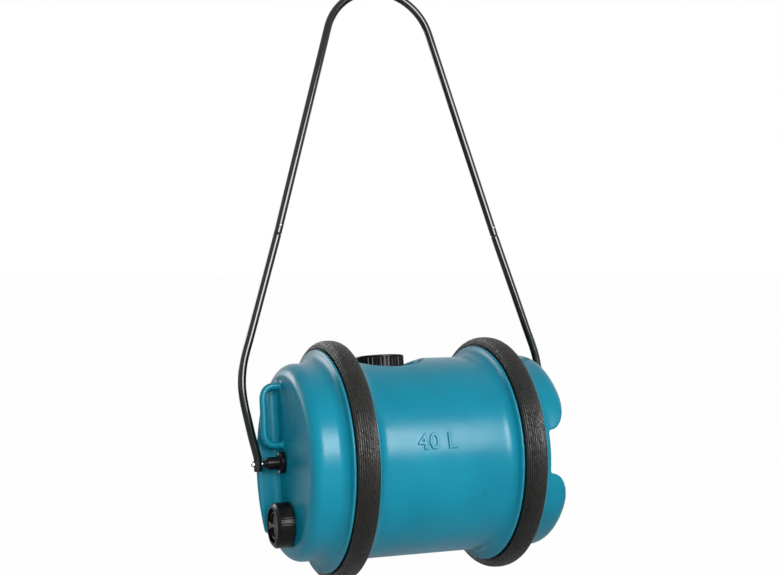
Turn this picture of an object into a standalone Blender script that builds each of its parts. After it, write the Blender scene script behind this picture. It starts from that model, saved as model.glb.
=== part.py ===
"""Rolling water container: a blow-moulded drum that rolls on two tyres in a tall tube handle.

Metres, +Z up. The drum's axis is parallel to X, the side that the photograph shows faces -Y,
and the origin is on the floor under the middle of the whole thing.
"""

import math

import bmesh
import bpy
from mathutils import Matrix

# Driving dimensions, in metres.
TYRE_R = 0.2050
TYRE_BORE_R = 0.1848
TYRE_W = 0.0383
TYRE_FACETS = 48
GAP = 0.0003

# The drum's middle lies beside the handle's middle, towards +X.
DRUM_X = 0.0174
TYRE_SPACING = 0.2977
LIP_R = 0.1902
GROOVE_R = 0.1845
GROOVE_W = 0.0389
BODY_R = 0.1707
LEFT_R = 0.1671
WALL = 0.0030
DRUM_FACETS = 48

FLOOR_X = -0.2145
FLOOR_ROUND = 0.0225
LOBE_R = 0.1420
LOBE_X = -0.2560
LOBE_DOME_R = 0.650
LOBE_WALL_Y = 0.0246
RIDGE_X = -0.2542
RIDGE_Z = -0.0150
RIDGE_R = 0.500
BACK_SLOPE = 0.31
FOOT_X = 0.2510
FOOT_ROUND = 0.0205
CHANNEL_X = 0.2070
CHANNEL_W = 0.0738
CHANNEL_Z = -0.0062
CHANNEL_FLARE_X = 0.0390
CHANNEL_FLARE_Z = 0.0950

GRIP_R = 0.0060
GRIP_Y = 0.0
GRIP_TOP_Z = 0.1300
GRIP_FOOT_Z = 0.0300
GRIP_REACH = 0.0314
GRIP_BEND = 0.0190

DRUM_ROLL = math.radians(-8.5)
HANDLE_LEAN = math.radians(-8.0)

FILLER_X = -0.0301
POCKET_R = 0.0758
POCKET_Z = 0.1517
FILLER_CAP_R = 0.0420
FILLER_CAP_H = 0.0228
FILLER_NECK_R = 0.0338
FILLER_BORE_R = 0.0292
FILLER_NECK_H = 0.0190
FLUTES = 20

OUTLET_Y = -0.0200
OUTLET_Z = -0.1029
OUTLET_CAP_R = 0.0381
OUTLET_CAP_H = 0.0290
OUTLET_NECK_R = 0.0302
OUTLET_BORE_R = 0.0256
OUTLET_NECK_H = 0.0186

HUB_BASE_X = 0.2145
HUB_FLANGE_R = 0.0186
HUB_FLANGE_T = 0.0082
HUB_BODY_R = 0.0105
HUB_BODY_X = 0.2445
HUB_BORE_R = 0.0068
HUB_NOSE_R = 0.0074
HUB_NOSE_X = 0.2514
HUB_SCREW_Z = 0.0144
PIN_R = 0.0030

PIVOT_X = 0.2594
TUBE_R = 0.0070
TUBE_BORE_R = 0.0056
SPIGOT_R = 0.0053
SPIGOT_BORE_R = 0.0040
ARM_END_H = -0.0133
ARM_LEAN = math.radians(17.4)
JOINT_X = 0.2082
JOINT_H = 0.3936
SPIGOT_L = 0.045
LOOP_R = 0.1025
LOOP_H = 0.7405
BUTTON_ABOVE_JOINT = 0.014
BUTTON_R = 0.0023
SPIN = 0.053


def clear_scene():
    """Remove whatever the scene holds, so each run starts empty."""
    for old in list(bpy.data.objects):
        bpy.data.objects.remove(old, do_unlink=True)


def collection(name):
    """Return a new collection linked to the scene."""
    made = bpy.data.collections.new(name)
    bpy.context.scene.collection.children.link(made)
    return made


def material(name, colour, roughness, metallic=0.0):
    """Return a Principled material from a linear colour."""
    made = bpy.data.materials.new(name)
    made.use_nodes = True
    shader = made.node_tree.nodes["Principled BSDF"]
    shader.inputs["Base Color"].default_value = (*colour, 1.0)
    shader.inputs["Roughness"].default_value = roughness
    shader.inputs["Metallic"].default_value = metallic
    return made


clear_scene()
PARTS = collection("rolling_water_container")
CUTTERS = collection("cutters")

DRUM_PLASTIC = material("drum_plastic", (0.014, 0.270, 0.420), 0.35)
TYRE_RUBBER = material("tyre_rubber", (0.020, 0.019, 0.017), 0.75)
BLACK_PLASTIC = material("black_plastic", (0.012, 0.012, 0.013), 0.40)
SEAL_RUBBER = material("seal_rubber", (0.030, 0.030, 0.030), 0.80)
TUBE_STEEL = material("tube_steel", (0.030, 0.045, 0.042), 0.22, 1.0)
BRIGHT_STEEL = material("bright_steel", (0.550, 0.560, 0.570), 0.25, 1.0)


def place(obj, group, slot=None):
    """Move an object to one of the two collections and set its material."""
    for old in list(obj.users_collection):
        old.objects.unlink(obj)
    group.objects.link(obj)
    if group is CUTTERS:
        obj.hide_render = True
        obj.display_type = 'WIRE'
    if slot is not None:
        obj.data.materials.clear()
        obj.data.materials.append(slot)
    return obj


def empty(name, location, rotation):
    """Return an empty that stands on a joint's axis."""
    made = bpy.data.objects.new(name, None)
    made.location = location
    made.rotation_euler = rotation
    PARTS.objects.link(made)
    return made


def boolean(obj, other, operation):
    """Cut or join another object with a Boolean modifier."""
    mod = obj.modifiers.new(operation.lower(), 'BOOLEAN')
    mod.operation = operation
    mod.object = other
    return mod


def arc(cx, cy, rx, ry, start, end, steps):
    """Return points of an elliptic arc, angles in degrees."""
    points = []
    for i in range(steps + 1):
        a = math.radians(start + (end - start) * i / steps)
        points.append((cx + rx * math.cos(a), cy + ry * math.sin(a)))
    return points


def turned_x(name, profile, facets, group, slot=None, closed=False, turn=0.0):
    """Turn a profile of (x, radius) points about the X axis with a Screw modifier.

    An open profile starts and ends on the axis. The order of the points doesn't matter.
    """
    mesh = bpy.data.meshes.new(name)
    verts = [(x, 0.0, r) for x, r in profile]
    edges = [(i, i + 1) for i in range(len(verts) - 1)]
    if closed:
        edges.append((len(verts) - 1, 0))
    mesh.from_pydata(verts, edges, [])
    obj = bpy.data.objects.new(name, mesh)
    bpy.context.scene.collection.objects.link(obj)
    place(obj, group, slot)
    add_screw(obj, 'X', facets, signed_area(profile) < 0.0)
    obj.rotation_euler = (turn, 0.0, 0.0)
    return obj


def signed_area(profile):
    """Return twice the signed area inside a profile, closed back to its first point."""
    total = 0.0
    for (x0, y0), (x1, y1) in zip(profile, profile[1:] + profile[:1]):
        total += x0 * y1 - x1 * y0
    return total


def add_screw(obj, axis, facets, flip):
    """Turn an object's profile through a full circle, with its faces pointing out."""
    screw = obj.modifiers.new("turn", 'SCREW')
    screw.axis = axis
    screw.angle = math.tau
    screw.steps = facets
    screw.render_steps = facets
    screw.use_merge_vertices = True
    screw.merge_threshold = 0.00005
    screw.use_normal_flip = flip
    screw.use_smooth_shade = True


def cylinder(name, radius, depth, centre, axis, facets, group, slot=None):
    """Return a primitive cylinder along X, Y or Z.

    It is spun a little about its axis, so that its corners miss those of round neighbours.
    """
    turn = {'X': (0.0, math.pi / 2, 0.0), 'Y': (math.pi / 2, 0.0, 0.0), 'Z': (0.0, 0.0, 0.0)}[axis]
    bpy.ops.mesh.primitive_cylinder_add(vertices=facets, radius=radius, depth=depth,
                                        location=centre, rotation=turn)
    obj = bpy.context.active_object
    obj.name = name
    obj.data.name = name
    obj.data.transform(Matrix.Rotation(SPIN, 4, 'Z'))
    return place(obj, group, slot)


def box(name, size, centre, group, slot=None):
    """Return a primitive box with its scale applied."""
    bpy.ops.mesh.primitive_cube_add(size=1.0, location=centre)
    obj = bpy.context.active_object
    obj.name = name
    obj.data.name = name
    obj.data.transform(Matrix.Diagonal((*size, 1.0)))
    return place(obj, group, slot)


def tube(name, points, radius, sides, group, slot=None, radii=None, spin=0.0):
    """Return a mesh tube along points, made from a curve with a bevel and filled caps."""
    curve = bpy.data.curves.new(name, 'CURVE')
    curve.dimensions = '3D'
    curve.bevel_depth = radius
    curve.bevel_resolution = sides // 2 - 2
    curve.use_fill_caps = True
    spline = curve.splines.new('POLY')
    spline.points.add(len(points) - 1)
    for i, point in enumerate(points):
        spline.points[i].co = (*point, 1.0)
        spline.points[i].radius = radii[i] if radii else 1.0
        spline.points[i].tilt = spin
    guide = bpy.data.objects.new(name + "_curve", curve)
    bpy.context.scene.collection.objects.link(guide)
    graph = bpy.context.evaluated_depsgraph_get()
    mesh = bpy.data.meshes.new_from_object(guide.evaluated_get(graph))
    mesh.name = name
    shell = bmesh.new()
    shell.from_mesh(mesh)
    bmesh.ops.remove_doubles(shell, verts=shell.verts, dist=0.00001)
    bmesh.ops.recalc_face_normals(shell, faces=shell.faces)
    shell.to_mesh(mesh)
    shell.free()
    obj = bpy.data.objects.new(name, mesh)
    obj.matrix_world = guide.matrix_world
    bpy.context.scene.collection.objects.link(obj)
    bpy.data.objects.remove(guide, do_unlink=True)
    place(obj, group, slot)
    mesh.shade_smooth()
    return obj


def under(obj, parent):
    """Parent an object and keep its location as one in the parent's frame."""
    obj.parent = parent
    return obj


# The axis of the drum, and of the handle that it turns in.
drum_axis = empty("drum_axis", (0.0, 0.0, TYRE_R), (DRUM_ROLL, 0.0, 0.0))
handle_axis = empty("handle_axis", (0.0, 0.0, TYRE_R), (HANDLE_LEAN, 0.0, 0.0))

left_tyre_x = DRUM_X - TYRE_SPACING / 2
right_tyre_x = DRUM_X + TYRE_SPACING / 2


def flare(edge_x, side, base_r):
    """Return the drum's outline from a tyre groove's edge out to the plain wall."""
    sweep = 0.0185
    rise = LIP_R - 0.0025 - base_r
    points = [(edge_x, LIP_R), (edge_x + side * 0.0025, LIP_R), (edge_x + side * 0.0040, LIP_R - 0.0007)]
    centre_u = 0.0046 + sweep
    for i in range(5):
        a = math.radians(90.0 * i / 4)
        u = centre_u - sweep * math.cos(a)
        points.append((edge_x + side * u, base_r + rise * (1.0 - math.sin(a))))
    return points


def lobe_outline():
    """Return the raised half's outline, from high x to low x, ending on the axis."""
    points = [(FLOOR_X + 0.0125, 0.0), (FLOOR_X + 0.0125, LOBE_R), (FLOOR_X + 0.0040, LOBE_R)]
    round_r = 0.020
    edge_r = LOBE_R - round_r
    for i in range(1, 6):
        a = math.radians(78.0 * i / 5)
        points.append((FLOOR_X + 0.0040 - round_r * math.sin(a), edge_r + round_r * math.cos(a)))
    for r in (0.105, 0.080, 0.050, 0.0):
        points.append((LOBE_X + r * r / (2 * LOBE_DOME_R), r))
    return points


def drum_outline():
    """Return the drum's outer outline, from its right end to its left."""
    points = [(FOOT_X, 0.0), (FOOT_X, BODY_R - FOOT_ROUND)]
    points += arc(FOOT_X - FOOT_ROUND, BODY_R - FOOT_ROUND, FOOT_ROUND, FOOT_ROUND, 22.5, 90, 3)
    points += reversed(flare(right_tyre_x + GROOVE_W / 2, 1, BODY_R))
    points += [(right_tyre_x + GROOVE_W / 2, GROOVE_R), (right_tyre_x - GROOVE_W / 2, GROOVE_R)]
    points += flare(right_tyre_x - GROOVE_W / 2, -1, BODY_R)
    points += reversed(flare(left_tyre_x + GROOVE_W / 2, 1, BODY_R))
    points += [(left_tyre_x + GROOVE_W / 2, GROOVE_R), (left_tyre_x - GROOVE_W / 2, GROOVE_R)]
    points += flare(left_tyre_x - GROOVE_W / 2, -1, LEFT_R)
    points += arc(FLOOR_X + FLOOR_ROUND, LEFT_R - FLOOR_ROUND, FLOOR_ROUND, FLOOR_ROUND, 90, 180, 4)
    points += [(FLOOR_X, 0.0150), (FLOOR_X, 0.0)]
    return points


def lobe_x_at(r):
    """Return the raised half's outer x at a radius."""
    outline = list(reversed(lobe_outline()))
    for (x0, r0), (x1, r1) in zip(outline, outline[1:]):
        if r0 <= r <= r1:
            return x0 + (x1 - x0) * (r - r0) / (r1 - r0)
    return FLOOR_X


def ridge_x(z):
    """Return the outer x of the raised half's ridge, which runs beside the wall, at a height."""
    return RIDGE_X + (z - RIDGE_Z) ** 2 / (2 * RIDGE_R)


def wall_cutter(name, slices, inset):
    """Return the body that clears the near half of the left end and slopes the raised half's back.

    It is lofted along Z, because its section follows the ridge: a fillet where the wall meets
    the floor, a rounded edge along the ridge, and a straight back that falls to the far rim.
    The inset moves the wall and the back into the raised half, for the hollow behind them.
    """
    shell = bmesh.new()
    rings = []
    back_turn = math.degrees(math.atan(BACK_SLOPE))
    wall_y = LOBE_WALL_Y + inset
    back_inset = inset * (math.hypot(1.0, BACK_SLOPE) + BACK_SLOPE)
    for k in range(slices):
        z = -0.175 + 0.350 * k / (slices - 1)
        outer_x = max(lobe_x_at(min(abs(z), LOBE_R)), ridge_x(z)) + back_inset
        height = max(FLOOR_X - outer_x, 0.003)
        inner = min(0.010, 0.50 * height)
        outer = min(0.008, 0.35 * height)
        top_x = FLOOR_X - height
        if inset:
            section = [(FLOOR_X + 0.006, -0.20), (FLOOR_X + 0.006, wall_y)]
        else:
            section = [(FLOOR_X + 0.004, -0.20), (FLOOR_X + 0.004, wall_y - inner - 0.006)]
            section += arc(FLOOR_X - inner, wall_y - inner, inner, inner, 15, 90, 4)
        section += arc(top_x + outer, wall_y + outer, outer, outer, 270, 180 - back_turn, 5)
        last_x, last_y = section[-1]
        section += [(last_x + BACK_SLOPE * (0.180 - last_y), 0.180), (-0.320, 0.180), (-0.320, -0.20)]
        rings.append([shell.verts.new((x, y, z)) for x, y in section])
    count = len(rings[0])
    for low, high in zip(rings, rings[1:]):
        for i in range(count):
            j = (i + 1) % count
            shell.faces.new((low[i], low[j], high[j], high[i]))
    shell.faces.new(list(reversed(rings[0])))
    shell.faces.new(rings[-1])
    bmesh.ops.recalc_face_normals(shell, faces=shell.faces)
    bmesh.ops.triangulate(shell, faces=shell.faces)
    mesh = bpy.data.meshes.new(name)
    shell.to_mesh(mesh)
    shell.free()
    obj = bpy.data.objects.new(name, mesh)
    bpy.context.scene.collection.objects.link(obj)
    return place(obj, CUTTERS)


def channel_cutter(name, inset):
    """Return the body that clears the channel of the right end, drawn as an outline in XZ.

    Both lips flare out to the mouth. The inset moves the whole outline into the drum's wall.
    """
    half = CHANNEL_W / 2 + inset
    flare_x = CHANNEL_FLARE_X - inset
    flare_z = CHANNEL_FLARE_Z - inset
    round_r = 0.0050
    points = [(FOOT_X + 0.02, half + flare_z)]
    points += arc(FOOT_X - CHANNEL_FLARE_X, half + flare_z, flare_x, flare_z, 0, -90, 7)
    points += arc(CHANNEL_X - inset + round_r, half - round_r, round_r, round_r, 90, 180, 3)
    points += [(x, -z) for x, z in reversed(points)]
    curve = bpy.data.curves.new(name, 'CURVE')
    curve.dimensions = '2D'
    curve.fill_mode = 'BOTH'
    curve.extrude = 0.20
    spline = curve.splines.new('POLY')
    spline.use_cyclic_u = True
    spline.points.add(len(points) - 1)
    for i, (x, z) in enumerate(points):
        spline.points[i].co = (x, z + CHANNEL_Z, 0.0, 1.0)
    guide = bpy.data.objects.new(name + "_outline", curve)
    guide.rotation_euler = (math.pi / 2, 0.0, 0.0)
    bpy.context.scene.collection.objects.link(guide)
    bpy.context.view_layer.update()
    graph = bpy.context.evaluated_depsgraph_get()
    mesh = bpy.data.meshes.new_from_object(guide.evaluated_get(graph))
    shell = bmesh.new()
    shell.from_mesh(mesh)
    bmesh.ops.remove_doubles(shell, verts=shell.verts, dist=0.00001)
    bmesh.ops.recalc_face_normals(shell, faces=shell.faces)
    shell.to_mesh(mesh)
    shell.free()
    obj = bpy.data.objects.new(name, mesh)
    obj.matrix_world = guide.matrix_world
    bpy.context.scene.collection.objects.link(obj)
    bpy.data.objects.remove(guide, do_unlink=True)
    return place(obj, CUTTERS)


def build_drum():
    """Return the blow-moulded drum: one hollow body with two open necks."""
    drum = turned_x("drum_shell", drum_outline(), DRUM_FACETS, PARTS, DRUM_PLASTIC)
    under(drum, drum_axis)
    children = []

    def helper(obj):
        children.append(obj)
        return under(obj, drum_axis)

    lobe = helper(turned_x("raised_half", lobe_outline(), DRUM_FACETS, CUTTERS))
    boolean(lobe, helper(wall_cutter("near_half_cutter", 25, 0.0)), 'DIFFERENCE')
    boolean(drum, lobe, 'UNION')
    boolean(drum, helper(channel_cutter("channel", 0.0)), 'DIFFERENCE')
    spot = helper(cylinder("hub_spot_face", HUB_FLANGE_R + 0.0007, 0.0400,
                           (FLOOR_X + 0.0004 - 0.0200, 0.0, 0.0), 'X', 40, CUTTERS))
    boolean(drum, spot, 'DIFFERENCE')
    pad = helper(cylinder("hub_pad", 0.0240, 0.0200, (-FLOOR_X - 0.0100, 0.0, 0.0), 'X', 32, CUTTERS))
    boolean(drum, pad, 'UNION')
    pocket = helper(cylinder("filler_pocket", POCKET_R, 0.060, (FILLER_X, 0.0, POCKET_Z + 0.030), 'Z',
                             48, CUTTERS))
    boolean(drum, pocket, 'DIFFERENCE')

    high = GRIP_TOP_Z
    low = GRIP_FOOT_Z
    bend_x = FLOOR_X - GRIP_REACH + GRIP_BEND
    grip_path = [(FLOOR_X + 0.003, high), (FLOOR_X - 0.004, high)]
    grip_path += arc(bend_x, high - GRIP_BEND, GRIP_BEND, GRIP_BEND, 90, 180, 5)
    grip_path += arc(bend_x, low + GRIP_BEND, GRIP_BEND, GRIP_BEND, 180, 270, 5)
    grip_path += [(FLOOR_X - 0.004, low), (FLOOR_X + 0.003, low)]
    grip = helper(tube("carry_grip", [(x, GRIP_Y, z) for x, z in grip_path], GRIP_R, 12, CUTTERS))
    boolean(drum, grip, 'UNION')

    filler_neck = helper(cylinder("filler_neck", FILLER_NECK_R, FILLER_NECK_H + 0.0010,
                                  (FILLER_X, 0.0, POCKET_Z + FILLER_NECK_H / 2 - 0.0005), 'Z',
                                  40, CUTTERS))
    boolean(drum, filler_neck, 'UNION')
    outlet_neck = helper(cylinder("outlet_neck", OUTLET_NECK_R, OUTLET_NECK_H + 0.0020,
                                  (FLOOR_X - OUTLET_NECK_H / 2 + 0.0010, OUTLET_Y, OUTLET_Z), 'X',
                                  40, CUTTERS))
    boolean(drum, outlet_neck, 'UNION')

    cavity = helper(build_cavity(helper))
    boolean(drum, cavity, 'DIFFERENCE')
    filler_bore = helper(cylinder("filler_bore", FILLER_BORE_R, 0.080, (FILLER_X, 0.0, POCKET_Z), 'Z',
                                  36, CUTTERS))
    boolean(drum, filler_bore, 'DIFFERENCE')
    outlet_bore = helper(cylinder("outlet_bore", OUTLET_BORE_R, 0.060, (FLOOR_X, OUTLET_Y, OUTLET_Z),
                                  'X', 36, CUTTERS))
    boolean(drum, outlet_bore, 'DIFFERENCE')
    for side in (-1, 1):
        for end in (-1, 1):
            hole = helper(cylinder("screw_hole", 0.0019, 0.0180,
                                   (side * -FLOOR_X, 0.0, end * HUB_SCREW_Z), 'X', 12, CUTTERS))
            boolean(drum, hole, 'DIFFERENCE')
    return drum


def build_cavity(helper):
    """Return the drum's hollow: its outline moved in by the wall, less the walls round each recess."""
    points = [(FOOT_X - WALL, 0.0), (FOOT_X - WALL, BODY_R - FOOT_ROUND)]
    points += arc(FOOT_X - FOOT_ROUND, BODY_R - FOOT_ROUND, FOOT_ROUND - WALL, FOOT_ROUND - WALL,
                  45, 90, 1)
    points += [(right_tyre_x + 0.034, BODY_R - WALL), (right_tyre_x + 0.016, GROOVE_R - WALL),
               (right_tyre_x - 0.016, GROOVE_R - WALL), (right_tyre_x - 0.034, BODY_R - WALL),
               (left_tyre_x + 0.034, BODY_R - WALL), (left_tyre_x + 0.016, GROOVE_R - WALL),
               (left_tyre_x - 0.016, GROOVE_R - WALL), (left_tyre_x - 0.036, LEFT_R - WALL)]
    points += arc(FLOOR_X + FLOOR_ROUND, LEFT_R - FLOOR_ROUND, FLOOR_ROUND - WALL, FLOOR_ROUND - WALL,
                  90, 180, 2)
    points += [(FLOOR_X + WALL, 0.0)]
    cavity = turned_x("hollow", points, 36, CUTTERS)

    inner = [(FLOOR_X + 0.014, 0.0), (FLOOR_X + 0.014, LOBE_R - WALL),
             (FLOOR_X + 0.0005, LOBE_R - WALL), (FLOOR_X - 0.0100, LOBE_R - 0.0100),
             (FLOOR_X - 0.0125, 0.118)]
    inner += [(LOBE_X + WALL + r * r / (2 * LOBE_DOME_R), r) for r in (0.080, 0.0)]
    lobe_hollow = helper(turned_x("raised_half_hollow", inner, 32, CUTTERS))
    boolean(lobe_hollow, helper(wall_cutter("hollow_cutter", 15, WALL)), 'DIFFERENCE')
    boolean(cavity, lobe_hollow, 'UNION')

    boolean(cavity, helper(channel_cutter("channel_wall", WALL)), 'DIFFERENCE')
    pocket_wall = helper(cylinder("pocket_wall", POCKET_R + WALL, 0.060,
                                  (FILLER_X, 0.0, POCKET_Z - WALL + 0.030), 'Z', 40, CUTTERS))
    boolean(cavity, pocket_wall, 'DIFFERENCE')
    hub_wall = helper(cylinder("hub_wall", 0.0260, 0.0300, (FLOOR_X - 0.0015, 0.0, 0.0), 'X', 24, CUTTERS))
    boolean(cavity, hub_wall, 'DIFFERENCE')
    return cavity


def tyre_outline(centre_x):
    """Return a tyre's closed section: flat bore, upright sides and a rounded tread."""
    scale = 1.0 / math.cos(math.pi / TYRE_FACETS)
    half = TYRE_W / 2
    right = [(half, TYRE_BORE_R + 0.0002), (half, TYRE_BORE_R + 0.0084), (half * 0.95, TYRE_R - 0.0076),
             (half * 0.81, TYRE_R - 0.0039), (half * 0.58, TYRE_R - 0.0012), (half * 0.30, TYRE_R)]
    left = [(-x, r) for x, r in reversed(right)]
    loop = [(x + centre_x, r * scale) for x, r in right + left]
    return loop


def build_tyres():
    """Make both tyres, each with a flat facet on the floor."""
    for name, x in (("left_tyre", left_tyre_x), ("right_tyre", right_tyre_x)):
        tyre = turned_x(name, tyre_outline(x), TYRE_FACETS, PARTS, TYRE_RUBBER, closed=True,
                        turn=math.pi / TYRE_FACETS)
        tyre.location = (0.0, 0.0, TYRE_R)


def fluted_outline(radius, depth, count):
    """Return points of a circle whose edge dips once for each flute."""
    points = []
    for i in range(count * 3):
        a = math.tau * i / (count * 3)
        r = radius - depth if i % 3 == 0 else radius
        points.append((r * math.cos(a), r * math.sin(a)))
    return points


def outline_solid(name, outline, height, bevel, group, slot):
    """Return a solid from a flat outline: a 2D curve with an extrude of half its height."""
    curve = bpy.data.curves.new(name, 'CURVE')
    curve.dimensions = '2D'
    curve.fill_mode = 'BOTH'
    curve.extrude = height / 2 - bevel
    curve.bevel_depth = bevel
    curve.bevel_resolution = 0
    curve.offset = -bevel
    spline = curve.splines.new('POLY')
    spline.use_cyclic_u = True
    spline.points.add(len(outline) - 1)
    for i, (x, y) in enumerate(outline):
        spline.points[i].co = (x, y, 0.0, 1.0)
    guide = bpy.data.objects.new(name + "_outline", curve)
    bpy.context.scene.collection.objects.link(guide)
    graph = bpy.context.evaluated_depsgraph_get()
    mesh = bpy.data.meshes.new_from_object(guide.evaluated_get(graph))
    mesh.name = name
    shell = bmesh.new()
    shell.from_mesh(mesh)
    bmesh.ops.remove_doubles(shell, verts=shell.verts, dist=0.00001)
    bmesh.ops.recalc_face_normals(shell, faces=shell.faces)
    shell.to_mesh(mesh)
    shell.free()
    obj = bpy.data.objects.new(name, mesh)
    obj.matrix_world = guide.matrix_world
    bpy.context.scene.collection.objects.link(obj)
    bpy.data.objects.remove(guide, do_unlink=True)
    return place(obj, group, slot)


def build_filler_cap():
    """Make the fluted filler cap and its gasket, with their origins on the neck's axis."""
    base_z = POCKET_Z + 0.0018
    mount = empty("filler_axis", (FILLER_X, 0.0, base_z), (0.0, 0.0, 0.0))
    mount.parent = drum_axis
    cap = outline_solid("filler_cap", fluted_outline(FILLER_CAP_R, 0.0013, FLUTES), FILLER_CAP_H,
                        0.0012, PARTS, BLACK_PLASTIC)
    cap.data.transform(Matrix.Translation((0.0, 0.0, FILLER_CAP_H / 2)))
    cap.parent = mount
    hollow = cylinder("filler_cap_hollow", FILLER_NECK_R + 0.0006, 0.0400,
                      (0.0, 0.0, FILLER_CAP_H - 0.0035 - 0.0200), 'Z', 36, CUTTERS)
    hollow.parent = mount
    boolean(cap, hollow, 'DIFFERENCE')
    dish = cylinder("filler_cap_dish", 0.0330, 0.0020, (0.0, 0.0, FILLER_CAP_H), 'Z', 36, CUTTERS)
    dish.parent = mount
    boolean(cap, dish, 'DIFFERENCE')
    top_z = FILLER_CAP_H - 0.0035
    neck_top = FILLER_NECK_H - 0.0018
    gasket_profile = [(FILLER_NECK_R - 0.0004, neck_top + GAP), (FILLER_NECK_R - 0.0004, top_z - GAP),
                      (FILLER_BORE_R, top_z - GAP), (FILLER_BORE_R, neck_top + GAP)]
    gasket = turned_z("filler_gasket", gasket_profile, 36, PARTS, SEAL_RUBBER)
    gasket.parent = mount


def turned_z(name, profile, facets, group, slot=None, closed=True):
    """Turn a section of (radius, z) points about the Z axis."""
    mesh = bpy.data.meshes.new(name)
    count = len(profile)
    verts = [(r, 0.0, z) for r, z in profile]
    edges = [(i, (i + 1) % count) for i in range(count if closed else count - 1)]
    mesh.from_pydata(verts, edges, [])
    obj = bpy.data.objects.new(name, mesh)
    bpy.context.scene.collection.objects.link(obj)
    place(obj, group, slot)
    add_screw(obj, 'Z', facets, signed_area(profile) > 0.0)
    return obj


def build_outlet_cap():
    """Make the outlet cap with its barred face, and its gasket. Its local +Z points out of the end."""
    mount = empty("outlet_axis", (FLOOR_X - 0.0012, OUTLET_Y, OUTLET_Z), (0.0, -math.pi / 2, 0.0))
    mount.parent = drum_axis
    height = OUTLET_CAP_H
    cup = [(0.0, height - 0.0035), (0.0270, height - 0.0035), (0.0275, height), (0.0362, height),
           (OUTLET_CAP_R, height - 0.0010), (OUTLET_CAP_R, 0.0), (OUTLET_NECK_R + 0.0006, 0.0),
           (OUTLET_NECK_R + 0.0006, height - 0.0085), (0.0, height - 0.0085)]
    cap = turned_z("outlet_cap", cup, 48, PARTS, BLACK_PLASTIC, closed=False)
    cap.parent = mount
    bar = box("outlet_cap_bar", (0.0090, 0.0552, 0.0044), (0.0, 0.0, height - 0.0024), CUTTERS)
    bar.parent = mount
    boolean(cap, bar, 'UNION')
    gasket_profile = [(OUTLET_NECK_R - 0.0004, OUTLET_NECK_H - 0.0012 + GAP),
                      (OUTLET_NECK_R - 0.0004, height - 0.0085 - GAP),
                      (OUTLET_BORE_R, height - 0.0085 - GAP),
                      (OUTLET_BORE_R, OUTLET_NECK_H - 0.0012 + GAP)]
    gasket = turned_z("outlet_gasket", gasket_profile, 36, PARTS, SEAL_RUBBER)
    gasket.parent = mount


def build_hub(side_name, side):
    """Make one hub: socket, bush and screws. Side is -1 on the left and 1 on the right."""
    base = HUB_BASE_X
    front = base + HUB_FLANGE_T

    def at(x):
        return side * x

    bore_end = HUB_BODY_X - 0.0015
    eye_r = PIN_R + GAP
    profile = [(base + GAP, HUB_BORE_R), (base + GAP, HUB_FLANGE_R), (front - 0.001, HUB_FLANGE_R),
               (front, HUB_FLANGE_R - 0.001), (front, HUB_BODY_R + 0.0008),
               (front + 0.0008, HUB_BODY_R), (HUB_BODY_X - 0.0008, HUB_BODY_R),
               (HUB_BODY_X, HUB_BODY_R - 0.0008), (HUB_BODY_X, HUB_NOSE_R),
               (HUB_BODY_X + 0.0028, HUB_NOSE_R), (HUB_BODY_X + 0.0032, HUB_NOSE_R - 0.0012),
               (HUB_NOSE_X - 0.0006, HUB_NOSE_R - 0.0018), (HUB_NOSE_X, HUB_NOSE_R - 0.0024),
               (HUB_NOSE_X, eye_r), (bore_end, eye_r), (bore_end, HUB_BORE_R)]
    points = [(at(x), r) for x, r in profile]
    hub = turned_x(side_name + "_hub", points, 24, PARTS, BLACK_PLASTIC, closed=True)
    under(hub, drum_axis)
    for end in (-1, 1):
        hole = cylinder(side_name + "_flange_hole", 0.0019, 0.0300,
                        (at(base), 0.0, end * HUB_SCREW_Z), 'X', 12, CUTTERS)
        boolean(hub, under(hole, drum_axis), 'DIFFERENCE')

    start = base + 0.0035
    stop = HUB_BODY_X - 0.0015 - GAP
    bush_profile = [(at(start), 0.0065), (at(start), eye_r), (at(stop), eye_r), (at(stop), 0.0065)]
    under(turned_x(side_name + "_hub_bush", bush_profile, 24, PARTS, BLACK_PLASTIC, closed=True),
          drum_axis)

    shank = [(base - 0.0070, 0.0), (base - 0.0070, 0.0016), (front + GAP, 0.0016),
             (front + GAP, 0.0030), (front + 0.0012, 0.0030), (front + 0.0021, 0.0020),
             (front + 0.0021, 0.0)]
    shank = [(at(x), r) for x, r in shank]
    for end, end_name in ((1, "top"), (-1, "low")):
        guide = turned_x(side_name + "_screw_guide", shank, 14, CUTTERS)
        screw = baked(guide, side_name + "_hub_screw_" + end_name, (0.0, 0.0, end * HUB_SCREW_Z),
                      BRIGHT_STEEL)
        under(screw, drum_axis)


def baked(guide, name, shift, slot):
    """Turn a guide's evaluated shape into a plain mesh, moved, and remove the guide."""
    bpy.context.view_layer.update()
    graph = bpy.context.evaluated_depsgraph_get()
    mesh = bpy.data.meshes.new_from_object(guide.evaluated_get(graph))
    mesh.name = name
    mesh.transform(Matrix.Translation(shift))
    obj = bpy.data.objects.new(name, mesh)
    bpy.context.scene.collection.objects.link(obj)
    bpy.data.objects.remove(guide, do_unlink=True)
    return place(obj, PARTS, slot)


def loop_lean():
    """Return the angle from upright of the loop's legs, which run into its round top."""
    rise = LOOP_H - JOINT_H
    return math.acos(LOOP_R / math.hypot(JOINT_X, rise)) - math.atan2(rise, JOINT_X)


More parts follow.
